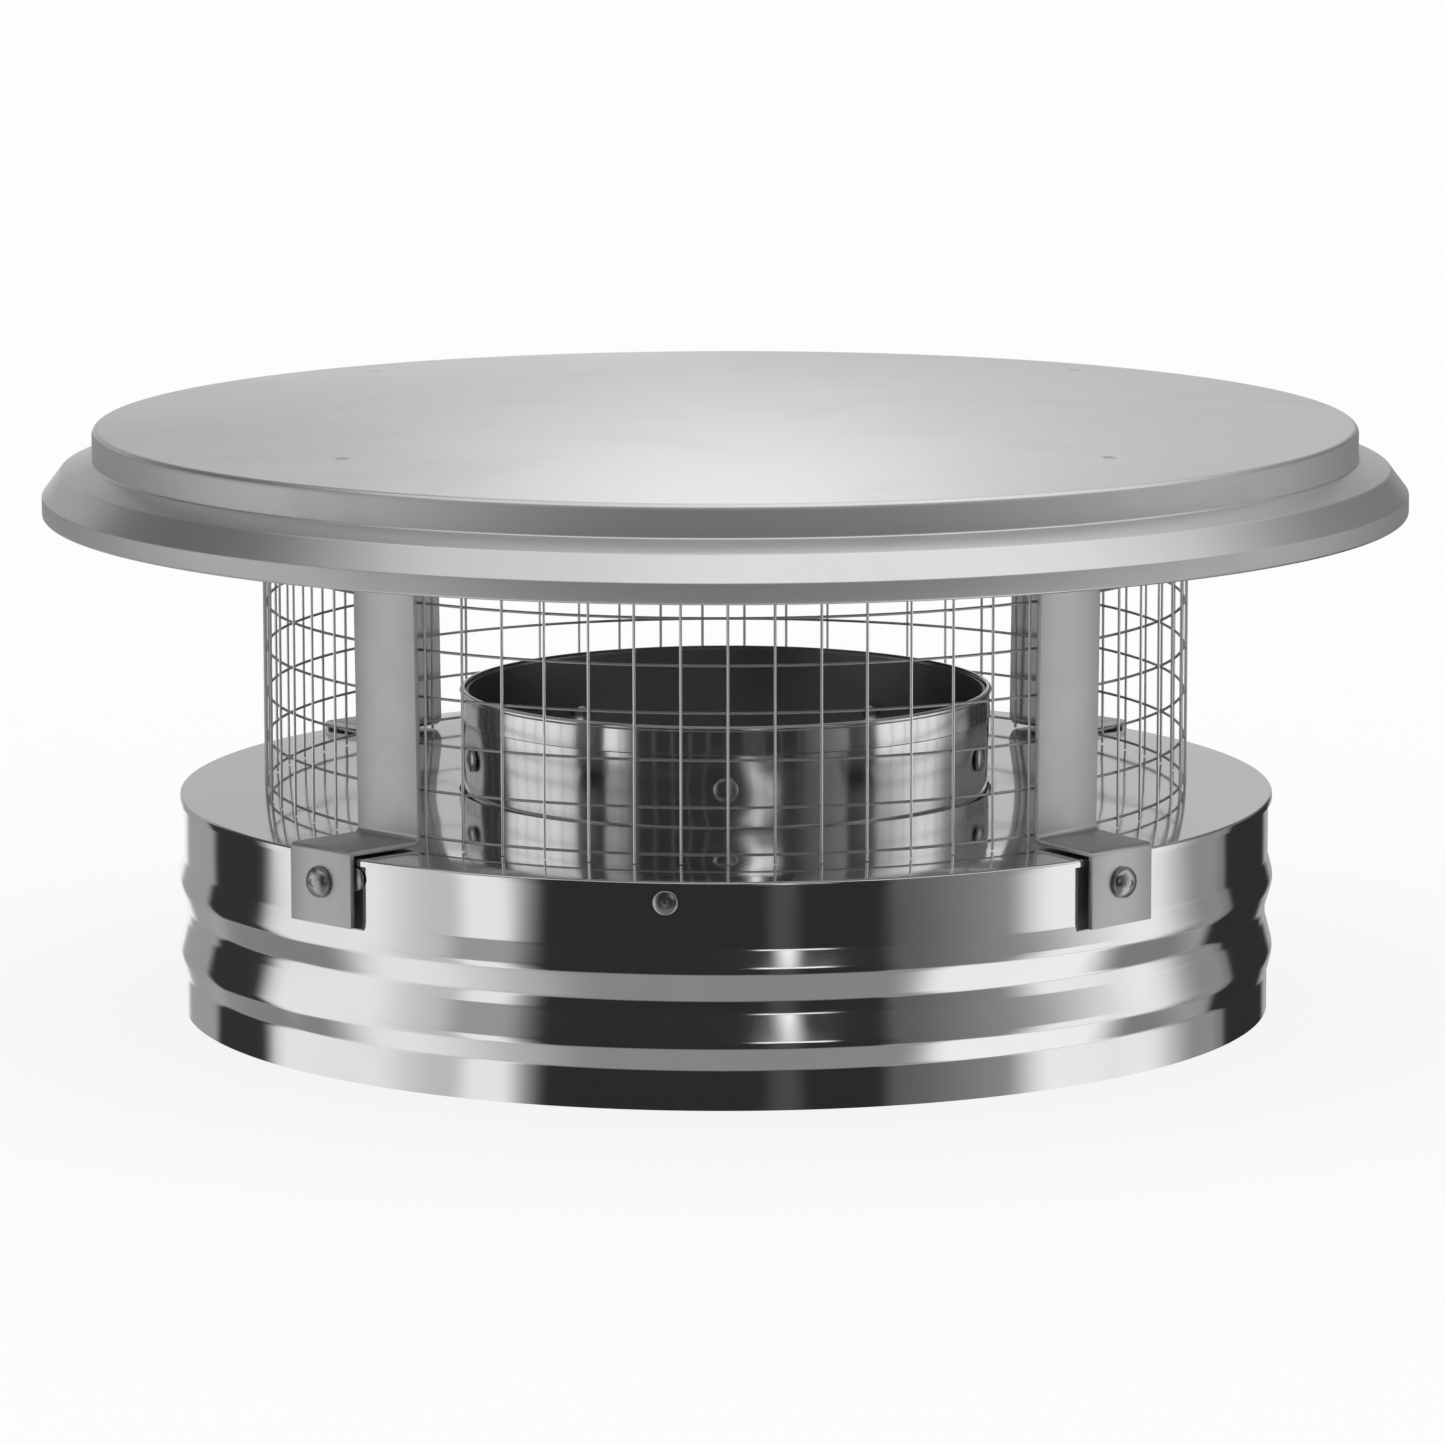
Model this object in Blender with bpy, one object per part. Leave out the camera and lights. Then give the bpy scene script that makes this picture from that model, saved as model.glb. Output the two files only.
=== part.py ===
"""Round stainless chimney cap for a double-wall flue, with a wire screen under a domed lid.

The cap stands on the lower edge of its skirt, at Z 0, and its axis is Z. Its front faces -Y.
Heights are measured up from the ground, radii out from the axis. Everything is in metres.
"""

import math

import bmesh
import bpy

# Facets
ROUND_SEGMENTS = 60
RIVET_SEGMENTS = 10
BEND_STEPS = 3
SHARP_ANGLE = math.radians(32)
MERGE_DISTANCE = 0.000001

# Clearances
SEAT_GAP = 0.0003
HOLE_CLEARANCE = 0.0003
RIVET_TAIL_GAP = 0.0005

# Flue collar: the pipe that stands up in the middle
COLLAR_DIAMETER = 0.152
COLLAR_SHEET = 0.0008
COLLAR_RISE = 0.0291
COLLAR_HEM_HEIGHT = 0.0016
COLLAR_HEM_PROUD = 0.0006
COLLAR_TAIL = 0.007

# Flue sleeve: the male pipe inside the collar that enters the flue
SLEEVE_SHEET = 0.0008
SLEEVE_TOP_DROP = 0.0010
SLEEVE_FOOT = 0.002

# Base plate: the ring between collar and skirt
PLATE_HEIGHT = 0.0629
PLATE_SHEET = 0.0008
PLATE_FALL = 0.0003
PLATE_LIP_DEPTH = 0.0020
PLATE_BEND = 0.0018
PLATE_FLANGE_DEPTH = 0.007

# Skirt: the beaded outer band
SKIRT_DIAMETER = 0.3126
SKIRT_SHEET = 0.0008
UPPER_BEAD_HEIGHT = 0.0382
LOWER_BEAD_HEIGHT = 0.0173
BEAD_PROUD = 0.0014
BEAD_HALF_WIDTH = 0.0066
BEAD_STEPS = 2
WAIST_DEPTH = 0.0007

# Wire screen: the real one is half-inch mesh, and this one has every second wire
SCREEN_INSET = 0.0234
SCREEN_WIRE = 0.0014
SCREEN_COLUMNS = 30
SCREEN_ROWS = 4

# Legs: four folded straps, bent by hand, so two tabs stand a little to the side of their uprights
LEG_AZIMUTHS = {"front_left": -43.9, "front_right": 44.4, "back_right": 135, "back_left": -135}
LEG_TAB_SHIFTS = {"front_left": -0.0012, "front_right": -0.0040, "back_right": 0, "back_left": 0}
STRAP_WIDTH = 0.024
STRAP_SHEET = 0.0015
STRAP_BEND = 0.0016
SHELF_CLEARANCE = 0.0007
LEG_LEAN = 0.0016
LEG_TAB_DEPTH = 0.0215
LEG_TOP_TAB = 0.0235

# Lid: one spun sheet
OUTLET_HEIGHT = 0.0807
LID_SHEET = 0.0009
LID_PAST_LEGS = 0.0213
LID_BRIM_WIDTH = 0.0144
LID_RIM_HEIGHT = 0.0054
LID_HEM_THICKNESS = 0.0020
LID_EDGE_RADIUS = 0.0009
LID_SLOPE_WIDTH = 0.0055
LID_SLOPE_FALL = 0.0075
LID_SHELF_FALL = 0.0025
LID_FOOT_RADIUS = 0.0009
LID_WALL_HEIGHT = 0.0075
LID_CORNER_RADIUS = 0.0020
LID_DOME_RISE = 0.0082
LID_DOME_STEPS = 4

# Blind rivets: azimuths in degrees from the front, towards +X
RIVET_DIMPLE_DEPTH = 0.0007
RIVET_DIMPLE_RADIUS = 0.0010
RIVET_DOME_STEPS = 2
RIVET_EDGE_HEIGHT = 0.0004
RIVET_SHANK_RADIUS = 0.0016
RIVET_TAIL_RADIUS = 0.0024
RIVET_TAIL_LENGTH = 0.0022
FOOT_RIVET_RADIUS = 0.0044
FOOT_RIVET_CROWN = 0.0030
FOOT_RIVET_DROP = 0.0097
SKIRT_RIVET_RADIUS = 0.0034
SKIRT_RIVET_CROWN = 0.0011
SKIRT_RIVET_DROP = 0.0058
SKIRT_RIVET_AZIMUTHS = (-6, -40.4, 139.6, 174)
COLLAR_RIVET_RADIUS = 0.0036
COLLAR_RIVET_CROWN = 0.0015
COLLAR_RIVET_RISE = 0.0112
COLLAR_RIVET_COUNT = 5

# Radii and heights that follow from the sizes above
COLLAR_RADIUS = COLLAR_DIAMETER / 2
COLLAR_INNER_RADIUS = COLLAR_RADIUS - COLLAR_SHEET
SLEEVE_RADIUS = COLLAR_INNER_RADIUS - SEAT_GAP
SLEEVE_INNER_RADIUS = SLEEVE_RADIUS - SLEEVE_SHEET
SKIRT_RADIUS = SKIRT_DIAMETER / 2
SKIRT_TOP = PLATE_HEIGHT - PLATE_SHEET - SEAT_GAP
PLATE_FLANGE_RADIUS = COLLAR_RADIUS + SEAT_GAP
PLATE_LIP_RADIUS = SKIRT_RADIUS + SEAT_GAP + PLATE_SHEET
SCREEN_RADIUS = SKIRT_RADIUS - SCREEN_INSET
LEG_TAB_RADIUS = PLATE_LIP_RADIUS + SEAT_GAP
LEG_FOOT_RADIUS = SCREEN_RADIUS + SEAT_GAP
LEG_TOP_RADIUS = LEG_FOOT_RADIUS + LEG_LEAN
LEG_TIP_RADIUS = LEG_TOP_RADIUS + STRAP_SHEET + LEG_TOP_TAB
SHELF_TOP = PLATE_HEIGHT + SHELF_CLEARANCE + STRAP_SHEET
LID_PLATE_RADIUS = LEG_TIP_RADIUS + LID_PAST_LEGS
LID_RIM_RADIUS = LID_PLATE_RADIUS + LID_BRIM_WIDTH
LID_RIM_BOTTOM = PLATE_HEIGHT + OUTLET_HEIGHT
LID_RIM_TOP = LID_RIM_BOTTOM + LID_RIM_HEIGHT
LID_CREASE_RADIUS = LID_RIM_RADIUS - LID_SLOPE_WIDTH
LID_CREASE_HEIGHT = LID_RIM_TOP + LID_SLOPE_FALL
LID_WALL_BOTTOM = LID_CREASE_HEIGHT + LID_SHELF_FALL
LID_WALL_TOP = LID_WALL_BOTTOM + LID_WALL_HEIGHT
LID_DOME_RADIUS = LID_PLATE_RADIUS - LID_CORNER_RADIUS

STEEL_GREY = (0.62, 0.63, 0.65)
SATIN_GREY = (0.50, 0.51, 0.53)
WIRE_GREY = (0.42, 0.42, 0.43)


def clear_scene():
    for old in list(bpy.data.objects):
        bpy.data.objects.remove(old, do_unlink=True)


def steel(name, colour, roughness):
    """A stainless steel finish of its own for one sub-part."""
    finish = bpy.data.materials.new(name)
    finish.use_nodes = True
    shader = finish.node_tree.nodes["Principled BSDF"]
    shader.inputs["Base Color"].default_value = (*colour, 1)
    shader.inputs["Metallic"].default_value = 1
    shader.inputs["Roughness"].default_value = roughness
    finish.diffuse_color = (*colour, 1)
    return finish


def finished_object(name, bm, finish):
    """Closes the bmesh and makes it a smooth-shaded object with sharp folds."""
    bmesh.ops.recalc_face_normals(bm, faces=bm.faces)
    mesh = bpy.data.meshes.new(name)
    bm.to_mesh(mesh)
    bm.free()
    mesh.materials.append(finish)
    mesh.shade_smooth()
    mesh.set_sharp_from_angle(angle=SHARP_ANGLE)
    made = bpy.data.objects.new(name, mesh)
    bpy.context.scene.collection.objects.link(made)
    return made


def arc(centre, radius, start, end, steps):
    """Points (radius, height) on an arc, with angles in degrees from outwards towards up."""
    points = []
    for step in range(steps + 1):
        angle = math.radians(start + (end - start) * step / steps)
        points.append((centre[0] + radius * math.cos(angle), centre[1] + radius * math.sin(angle)))
    return points


def offset_line(line, distance):
    """The line moved sideways to its right by a distance, with mitred corners."""
    normals = []
    for (r0, z0), (r1, z1) in zip(line, line[1:]):
        length = math.hypot(r1 - r0, z1 - z0)
        normals.append(((z1 - z0) / length, -(r1 - r0) / length))
    moved = []
    for index, (r, z) in enumerate(line):
        before = normals[max(index - 1, 0)]
        after = normals[min(index, len(normals) - 1)]
        share = 1 + before[0] * after[0] + before[1] * after[1]
        moved.append((r + distance * (before[0] + after[0]) / share,
                      z + distance * (before[1] + after[1]) / share))
    return moved


def rounded_path(corners, radius, steps):
    """The path through the corners, with an arc of the radius at each inner one."""
    path = [corners[0]]
    for before, corner, after in zip(corners, corners[1:], corners[2:]):
        arm_in = (before[0] - corner[0], before[1] - corner[1])
        arm_out = (after[0] - corner[0], after[1] - corner[1])
        length_in = math.hypot(*arm_in)
        length_out = math.hypot(*arm_out)
        cosine = (arm_in[0] * arm_out[0] + arm_in[1] * arm_out[1]) / (length_in * length_out)
        half = math.acos(cosine) / 2
        reach = radius / math.tan(half)
        middle = (arm_in[0] / length_in + arm_out[0] / length_out,
                  arm_in[1] / length_in + arm_out[1] / length_out)
        to_centre = radius / math.sin(half) / math.hypot(*middle)
        centre = (corner[0] + middle[0] * to_centre, corner[1] + middle[1] * to_centre)
        start = (corner[0] + arm_in[0] / length_in * reach, corner[1] + arm_in[1] / length_in * reach)
        first = math.atan2(start[1] - centre[1], start[0] - centre[0])
        turn = math.pi - 2 * half
        side = arm_in[0] * arm_out[1] - arm_in[1] * arm_out[0]
        turn = -turn if side > 0 else turn
        for step in range(steps + 1):
            angle = first + turn * step / steps
            path.append((centre[0] + radius * math.cos(angle), centre[1] + radius * math.sin(angle)))
    path.append(corners[-1])
    return path


def turned(name, section, finish, segments=ROUND_SEGMENTS):
    """A body turned about Z. Its section is a ring of (radius, height) points, or runs axis to axis."""
    bm = bmesh.new()
    points = [bm.verts.new((radius, 0, height)) for radius, height in section]
    lines = [bm.edges.new(pair) for pair in zip(points, points[1:])]
    reaches_axis = section[0][0] < MERGE_DISTANCE
    if not reaches_axis:
        lines.append(bm.edges.new((points[-1], points[0])))
    bmesh.ops.spin(bm, geom=points + lines, cent=(0, 0, 0), axis=(0, 0, 1),
                   angle=math.tau, steps=segments, use_merge=True, use_duplicate=False)
    bmesh.ops.remove_doubles(bm, verts=bm.verts, dist=MERGE_DISTANCE)
    return finished_object(name, bm, finish)


def radial_angle(azimuth):
    """The angle from +X of an azimuth in degrees from the front, towards +X."""
    return math.radians(azimuth - 90)


def outward_spot(azimuth, radius, height, sideways=0):
    """Where a piece sits whose own Z axis is to point straight out of the cap, and how it is turned."""
    angle = radial_angle(azimuth)
    location = (radius * math.cos(angle) - sideways * math.sin(angle),
                radius * math.sin(angle) + sideways * math.cos(angle), height)
    return location, (0, math.pi / 2, angle)


def plate_surface(radius):
    """Height of the base plate's upper face, which falls slightly towards its rim."""
    run = SKIRT_RADIUS - COLLAR_RADIUS
    return PLATE_HEIGHT + PLATE_FALL * (SKIRT_RADIUS - radius) / run


def lid_surface(radius):
    """Height of the lid's upper face over its domed top."""
    return LID_WALL_TOP + LID_CORNER_RADIUS + LID_DOME_RISE * (1 - (radius / LID_DOME_RADIUS) ** 2)


def lid_underside(radius):
    return lid_surface(radius) - LID_SHEET


def bead_line(height, band_above, band_below):
    """One rolled bead of the skirt, from the band above it to the band below it."""
    crest = SKIRT_RADIUS + BEAD_PROUD
    line = []
    for step in range(2 * BEAD_STEPS + 1):
        along = step / BEAD_STEPS - 1
        band = band_above if along < 0 else band_below
        swell = (1 + math.cos(math.pi * along)) / 2
        line.append((band + (crest - band) * swell, height - BEAD_HALF_WIDTH * along))
    return line


def make_skirt(finish):
    waist = SKIRT_RADIUS - WAIST_DEPTH
    outer = [(SKIRT_RADIUS, SKIRT_TOP)]
    outer += bead_line(UPPER_BEAD_HEIGHT, SKIRT_RADIUS, waist)
    outer += bead_line(LOWER_BEAD_HEIGHT, waist, SKIRT_RADIUS)
    outer.append((SKIRT_RADIUS, 0))
    inner = [(radius - SKIRT_SHEET, height) for radius, height in reversed(outer)]
    return turned("skirt", outer + inner, finish)


def make_base_plate(finish):
    bend = PLATE_BEND
    inner_height = plate_surface(PLATE_FLANGE_RADIUS)
    upper = [(PLATE_FLANGE_RADIUS, inner_height - PLATE_FLANGE_DEPTH)]
    upper += arc((PLATE_FLANGE_RADIUS + bend, inner_height - bend), bend, 180, 90, BEND_STEPS)
    lip_bend = PLATE_SHEET
    upper += arc((PLATE_LIP_RADIUS - lip_bend, PLATE_HEIGHT - lip_bend), lip_bend, 90, 0, BEND_STEPS - 1)
    upper.append((PLATE_LIP_RADIUS, PLATE_HEIGHT - PLATE_LIP_DEPTH))
    lower = [(PLATE_LIP_RADIUS - PLATE_SHEET, PLATE_HEIGHT - PLATE_LIP_DEPTH),
             (PLATE_LIP_RADIUS - PLATE_SHEET, PLATE_HEIGHT - PLATE_SHEET)]
    inner_bend = bend - PLATE_SHEET
    lower += arc((PLATE_FLANGE_RADIUS + bend, inner_height - bend), inner_bend, 90, 180, BEND_STEPS - 1)
    lower.append((PLATE_FLANGE_RADIUS + PLATE_SHEET, inner_height - PLATE_FLANGE_DEPTH))
    return turned("base_plate", upper + lower, finish)


def make_collar(finish):
    top = PLATE_HEIGHT + COLLAR_RISE
    hem_bottom = top - COLLAR_HEM_HEIGHT
    hem_radius = COLLAR_RADIUS + COLLAR_HEM_PROUD
    foot = PLATE_HEIGHT - COLLAR_TAIL
    section = [
        (COLLAR_INNER_RADIUS, foot),
        (COLLAR_RADIUS, foot),
        (COLLAR_RADIUS, hem_bottom - COLLAR_HEM_PROUD),
        (hem_radius, hem_bottom),
        (hem_radius, top - COLLAR_HEM_PROUD),
        (COLLAR_RADIUS, top),
        (COLLAR_INNER_RADIUS, top),
    ]
    return turned("flue_collar", section, finish)


def make_sleeve(finish):
    top = PLATE_HEIGHT + COLLAR_RISE - SLEEVE_TOP_DROP
    section = [
        (SLEEVE_INNER_RADIUS, SLEEVE_FOOT),
        (SLEEVE_RADIUS, SLEEVE_FOOT),
        (SLEEVE_RADIUS, top),
        (SLEEVE_INNER_RADIUS, top),
    ]
    return turned("flue_sleeve", section, finish)


def lid_outer_line():
    """The lid's outside, from the middle of the dome down to the foot of the rim."""
    line = []
    for step in range(LID_DOME_STEPS):
        radius = LID_DOME_RADIUS * step / LID_DOME_STEPS
        line.append((radius, lid_surface(radius)))
    line += arc((LID_DOME_RADIUS, LID_WALL_TOP), LID_CORNER_RADIUS, 90, 0, BEND_STEPS)
    foot = (LID_PLATE_RADIUS + LID_FOOT_RADIUS, LID_WALL_BOTTOM + LID_FOOT_RADIUS)
    line += arc(foot, LID_FOOT_RADIUS, 180, 250, BEND_STEPS - 1)
    line.append((LID_CREASE_RADIUS, LID_CREASE_HEIGHT))
    edge = (LID_RIM_RADIUS - LID_EDGE_RADIUS, LID_RIM_TOP)
    line += arc(edge, LID_EDGE_RADIUS, 50, 0, BEND_STEPS - 1)
    return line


def make_lid(finish):
    outer = lid_outer_line()
    inner = offset_line(outer[:-1], LID_SHEET)
    inner[0] = (0, outer[0][1] - LID_SHEET)
    hem_inner_radius = LID_RIM_RADIUS - LID_HEM_THICKNESS
    inner = [point for point in inner if point[0] < hem_inner_radius]
    rim = [
        (LID_RIM_RADIUS, LID_RIM_BOTTOM + LID_EDGE_RADIUS),
        (LID_RIM_RADIUS - LID_EDGE_RADIUS, LID_RIM_BOTTOM),
        (hem_inner_radius, LID_RIM_BOTTOM),
        (hem_inner_radius, LID_RIM_TOP - LID_EDGE_RADIUS),
    ]
    return turned("lid", outer + rim + inner[::-1], finish)


def strap_line():
    """The outer face of a leg's strap in a plane through the axis, from the tab's foot to the tip on top."""
    tab_radius = LEG_TAB_RADIUS + STRAP_SHEET
    upright_foot = LEG_FOOT_RADIUS + STRAP_SHEET
    upright_top = LEG_TOP_RADIUS + STRAP_SHEET
    below_lid = SEAT_GAP + STRAP_SHEET
    return [
        (tab_radius, SHELF_TOP - LEG_TAB_DEPTH),
        (tab_radius, SHELF_TOP),
        (upright_foot, SHELF_TOP),
        (upright_top, lid_underside(upright_top) - below_lid),
        (LEG_TIP_RADIUS, lid_underside(LEG_TIP_RADIUS) - below_lid),
    ]


def shelf_share(radius, height):
    """How far out along the shelf a point of the strap lies, from 0 at the upright to 1 at the tab."""
    start = LEG_FOOT_RADIUS + STRAP_SHEET + STRAP_BEND
    end = LEG_TAB_RADIUS + STRAP_SHEET - STRAP_BEND
    above_shelf = height > SHELF_TOP + MERGE_DISTANCE
    return 0 if above_shelf else min(max((radius - start) / (end - start), 0), 1)


def make_leg(place, azimuth, finish):
    face = rounded_path(strap_line(), STRAP_BEND, BEND_STEPS)
    back = offset_line(face, -STRAP_SHEET)
    bm = bmesh.new()
    ring = [bm.verts.new((radius, -STRAP_WIDTH / 2, height)) for radius, height in face + back[::-1]]
    side = bm.faces.new(ring)
    grown = bmesh.ops.extrude_face_region(bm, geom=[side])
    moved = [item for item in grown["geom"] if isinstance(item, bmesh.types.BMVert)]
    bmesh.ops.translate(bm, verts=moved, vec=(0, STRAP_WIDTH, 0))
    for vert in bm.verts:
        vert.co.y += LEG_TAB_SHIFTS[place] * shelf_share(vert.co.x, vert.co.z)
    leg = finished_object("leg_" + place, bm, finish)
    leg.rotation_euler = (0, 0, radial_angle(azimuth))
    return leg


def make_screen(finish):
    """A welded wire wall: cells are spun, each is inset by half a wire, and what is left gets the wire's depth."""
    radius = SCREEN_RADIUS - SCREEN_WIRE / 2
    bottom = plate_surface(radius) + SEAT_GAP
    top = lid_underside(SCREEN_RADIUS) - SEAT_GAP
    bm = bmesh.new()
    points = []
    for row in range(SCREEN_ROWS + 1):
        points.append(bm.verts.new((radius, 0, bottom + (top - bottom) * row / SCREEN_ROWS)))
    lines = [bm.edges.new(pair) for pair in zip(points, points[1:])]
    bmesh.ops.spin(bm, geom=points + lines, cent=(0, 0, 0), axis=(0, 0, 1),
                   angle=math.tau, steps=SCREEN_COLUMNS, use_merge=True, use_duplicate=False)
    cells = list(bm.faces)
    bmesh.ops.inset_individual(bm, faces=cells, thickness=SCREEN_WIRE / 2, use_even_offset=True)
    bmesh.ops.delete(bm, geom=cells, context="FACES")
    screen = finished_object("screen", bm, finish)
    depth = screen.modifiers.new("wire_depth", "SOLIDIFY")
    depth.thickness = SCREEN_WIRE
    depth.offset = 0
    depth.use_even_offset = True
    return screen


def rivet_section(head_radius, crown, grip):
    """A blind rivet's section, axis to axis. Its own Z 0 is the face that the head sits on."""
    tail = -grip - RIVET_TAIL_GAP
    edge = SEAT_GAP + RIVET_EDGE_HEIGHT
    first = math.asin(RIVET_DIMPLE_RADIUS / head_radius)
    dome = []
    for step in range(RIVET_DOME_STEPS + 1):
        angle = first + (math.pi / 2 - first) * step / RIVET_DOME_STEPS
        dome.append((head_radius * math.sin(angle), edge + (crown - RIVET_EDGE_HEIGHT) * math.cos(angle)))
    return [
        (0, dome[0][1] - RIVET_DIMPLE_DEPTH),
        *dome,
        (head_radius, SEAT_GAP),
        (RIVET_SHANK_RADIUS, SEAT_GAP),
        (RIVET_SHANK_RADIUS, tail),
        (RIVET_TAIL_RADIUS, tail - RIVET_TAIL_LENGTH / 2),
        (0, tail - RIVET_TAIL_LENGTH),
    ]


def make_rivet(name, section, spot, finish):
    rivet = turned(name, section, finish, RIVET_SEGMENTS)
    rivet.location, rivet.rotation_euler = spot


def make_drill(name, spot, depth):
    """A hidden cutter for one rivet hole, reaching past both ends of the rivet's grip."""
    hole = RIVET_SHANK_RADIUS + HOLE_CLEARANCE
    reach = SEAT_GAP * 2
    section = [(0, reach), (hole, reach), (hole, -depth - reach), (0, -depth - reach)]
    drill = turned(name, section, None, RIVET_SEGMENTS)
    drill.location, drill.rotation_euler = spot
    drill.hide_render = True
    drill.display_type = "WIRE"
    return drill


def cut_holes(target, drills):
    for drill in drills:
        cut = target.modifiers.new(drill.name, "BOOLEAN")
        cut.operation = "DIFFERENCE"
        cut.solver = "EXACT"
        cut.object = drill


def make_foot_rivets(legs, skirt, finish):
    """One rivet at each leg's foot, through the strap's tab and the skirt."""
    outside = LEG_TAB_RADIUS + STRAP_SHEET
    grip = outside - (SKIRT_RADIUS - SKIRT_SHEET)
    height = SHELF_TOP - FOOT_RIVET_DROP
    section = rivet_section(FOOT_RIVET_RADIUS, FOOT_RIVET_CROWN, grip)
    for place, azimuth in LEG_AZIMUTHS.items():
        spot = outward_spot(azimuth, outside, height, LEG_TAB_SHIFTS[place])
        make_rivet("foot_rivet_" + place, section, spot, finish)
        drill = make_drill("foot_drill_" + place, spot, grip)
        cut_holes(legs[place], [drill])
        cut_holes(skirt, [drill])


def make_skirt_rivets(skirt, finish):
    height = PLATE_HEIGHT - SKIRT_RIVET_DROP
    section = rivet_section(SKIRT_RIVET_RADIUS, SKIRT_RIVET_CROWN, SKIRT_SHEET)
    for number, azimuth in enumerate(SKIRT_RIVET_AZIMUTHS, 1):
        spot = outward_spot(azimuth, SKIRT_RADIUS, height)
        make_rivet(f"skirt_rivet_{number}", section, spot, finish)
        cut_holes(skirt, [make_drill(f"skirt_drill_{number}", spot, SKIRT_SHEET)])


def make_collar_rivets(collar, sleeve, finish):
    grip = COLLAR_RADIUS - SLEEVE_INNER_RADIUS
    height = PLATE_HEIGHT + COLLAR_RIVET_RISE
    section = rivet_section(COLLAR_RIVET_RADIUS, COLLAR_RIVET_CROWN, grip)
    for number in range(1, COLLAR_RIVET_COUNT + 1):
        azimuth = 360 * (number - 1) / COLLAR_RIVET_COUNT
        spot = outward_spot(azimuth, COLLAR_RADIUS, height)
        make_rivet(f"collar_rivet_{number}", section, spot, finish)
        drill = make_drill(f"collar_drill_{number}", spot, grip)
        cut_holes(collar, [drill])
        cut_holes(sleeve, [drill])


def main():
    clear_scene()
    mirror_finish = 0.08
    satin_finish = 0.30
    skirt = make_skirt(steel("skirt_steel", STEEL_GREY, mirror_finish))
    make_base_plate(steel("plate_steel", STEEL_GREY, mirror_finish))
    collar = make_collar(steel("collar_steel", STEEL_GREY, mirror_finish))
    sleeve = make_sleeve(steel("sleeve_steel", STEEL_GREY, satin_finish))
    make_lid(steel("lid_steel", SATIN_GREY, satin_finish))
    make_screen(steel("wire_steel", WIRE_GREY, satin_finish))
    strap_steel = steel("strap_steel", SATIN_GREY, satin_finish)
    legs = {place: make_leg(place, azimuth, strap_steel) for place, azimuth in LEG_AZIMUTHS.items()}
    rivet_steel = steel("rivet_steel", SATIN_GREY, satin_finish)
    make_foot_rivets(legs, skirt, rivet_steel)
    make_skirt_rivets(skirt, rivet_steel)
    make_collar_rivets(collar, sleeve, rivet_steel)


main()
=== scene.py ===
# %% [markdown]
# # A round chimney cap in bright steel
#
# The cap has a beaded skirt, a flat ring plate, a flue collar, a wire screen on four
# folded straps, and a stepped lid. The solids come first: they are loaded as a fixed frame,
# in metres, with the flue's axis on Z and the photographed side facing -Y.

# %% Load the frame
import math

import bmesh
import bpy
from mathutils import Matrix


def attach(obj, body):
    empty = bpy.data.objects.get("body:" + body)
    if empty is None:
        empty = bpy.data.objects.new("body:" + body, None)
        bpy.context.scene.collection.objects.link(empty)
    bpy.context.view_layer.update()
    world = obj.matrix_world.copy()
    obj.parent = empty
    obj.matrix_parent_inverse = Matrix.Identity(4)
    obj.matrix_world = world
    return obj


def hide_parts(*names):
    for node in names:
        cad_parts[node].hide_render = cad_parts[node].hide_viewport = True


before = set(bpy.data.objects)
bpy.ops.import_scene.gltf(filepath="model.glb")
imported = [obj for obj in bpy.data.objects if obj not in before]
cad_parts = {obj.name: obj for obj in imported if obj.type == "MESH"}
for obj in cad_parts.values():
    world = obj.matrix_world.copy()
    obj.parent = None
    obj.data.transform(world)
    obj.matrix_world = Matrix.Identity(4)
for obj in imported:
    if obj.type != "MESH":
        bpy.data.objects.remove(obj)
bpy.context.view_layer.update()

# %% [markdown]
# ## Sizes of the sheet pieces
#
# Nearly everything on this cap is thin sheet that was rolled or spun, so a piece is
# known by one line in a plane through the axis. The sizes here are those of the solids,
# and each line below is drawn finer than theirs.

# %% Sizes
SHEET = 0.0008
SEAT_GAP = 0.0003
SPIN_STEPS = 288
PLATE_HEIGHT = 0.0629
PLATE_FALL = 0.0003
COLLAR_RADIUS = 0.0760
COLLAR_RISE = 0.0291
COLLAR_TOP = PLATE_HEIGHT + COLLAR_RISE
SKIRT_RADIUS = 0.1563
SKIRT_TOP = PLATE_HEIGHT - SHEET - SEAT_GAP
PLATE_LIP_RADIUS = SKIRT_RADIUS + SEAT_GAP + SHEET
SCREEN_RADIUS = 0.1329
OUTLET_HEIGHT = 0.0807
LID_SHEET = 0.0009
LID_RIM_RADIUS = 0.1955
LID_RIM_HEIGHT = 0.0054
LID_SLOPE_WIDTH = 0.0055
LID_SLOPE_FALL = 0.0075
LID_SHELF_FALL = 0.0025
LID_WALL_HEIGHT = 0.0075
LID_RIM_BOTTOM = PLATE_HEIGHT + OUTLET_HEIGHT
LID_RIM_TOP = LID_RIM_BOTTOM + LID_RIM_HEIGHT
LID_CREASE = (LID_RIM_RADIUS - LID_SLOPE_WIDTH, LID_RIM_TOP + LID_SLOPE_FALL)
LID_PLATE_RADIUS = 0.1811
LID_WALL_BOTTOM = LID_CREASE[1] + LID_SHELF_FALL
LID_WALL_TOP = LID_WALL_BOTTOM + LID_WALL_HEIGHT
LID_CORNER_RADIUS = 0.0020
LID_DOME_RISE = 0.0082
STRAP_WIDTH = 0.024
STRAP_SHEET = 0.0015
STRAP_BEND = 0.0016
SHELF_CLEARANCE = 0.0007
SHELF_TOP = PLATE_HEIGHT + SHELF_CLEARANCE + STRAP_SHEET
LEG_TAB_RADIUS = PLATE_LIP_RADIUS + SEAT_GAP
LEG_FOOT_RADIUS = SCREEN_RADIUS + SEAT_GAP
LEG_LEAN = 0.0016
LEG_TOP_RADIUS = LEG_FOOT_RADIUS + LEG_LEAN
LEG_TAB_DEPTH = 0.0215
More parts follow.
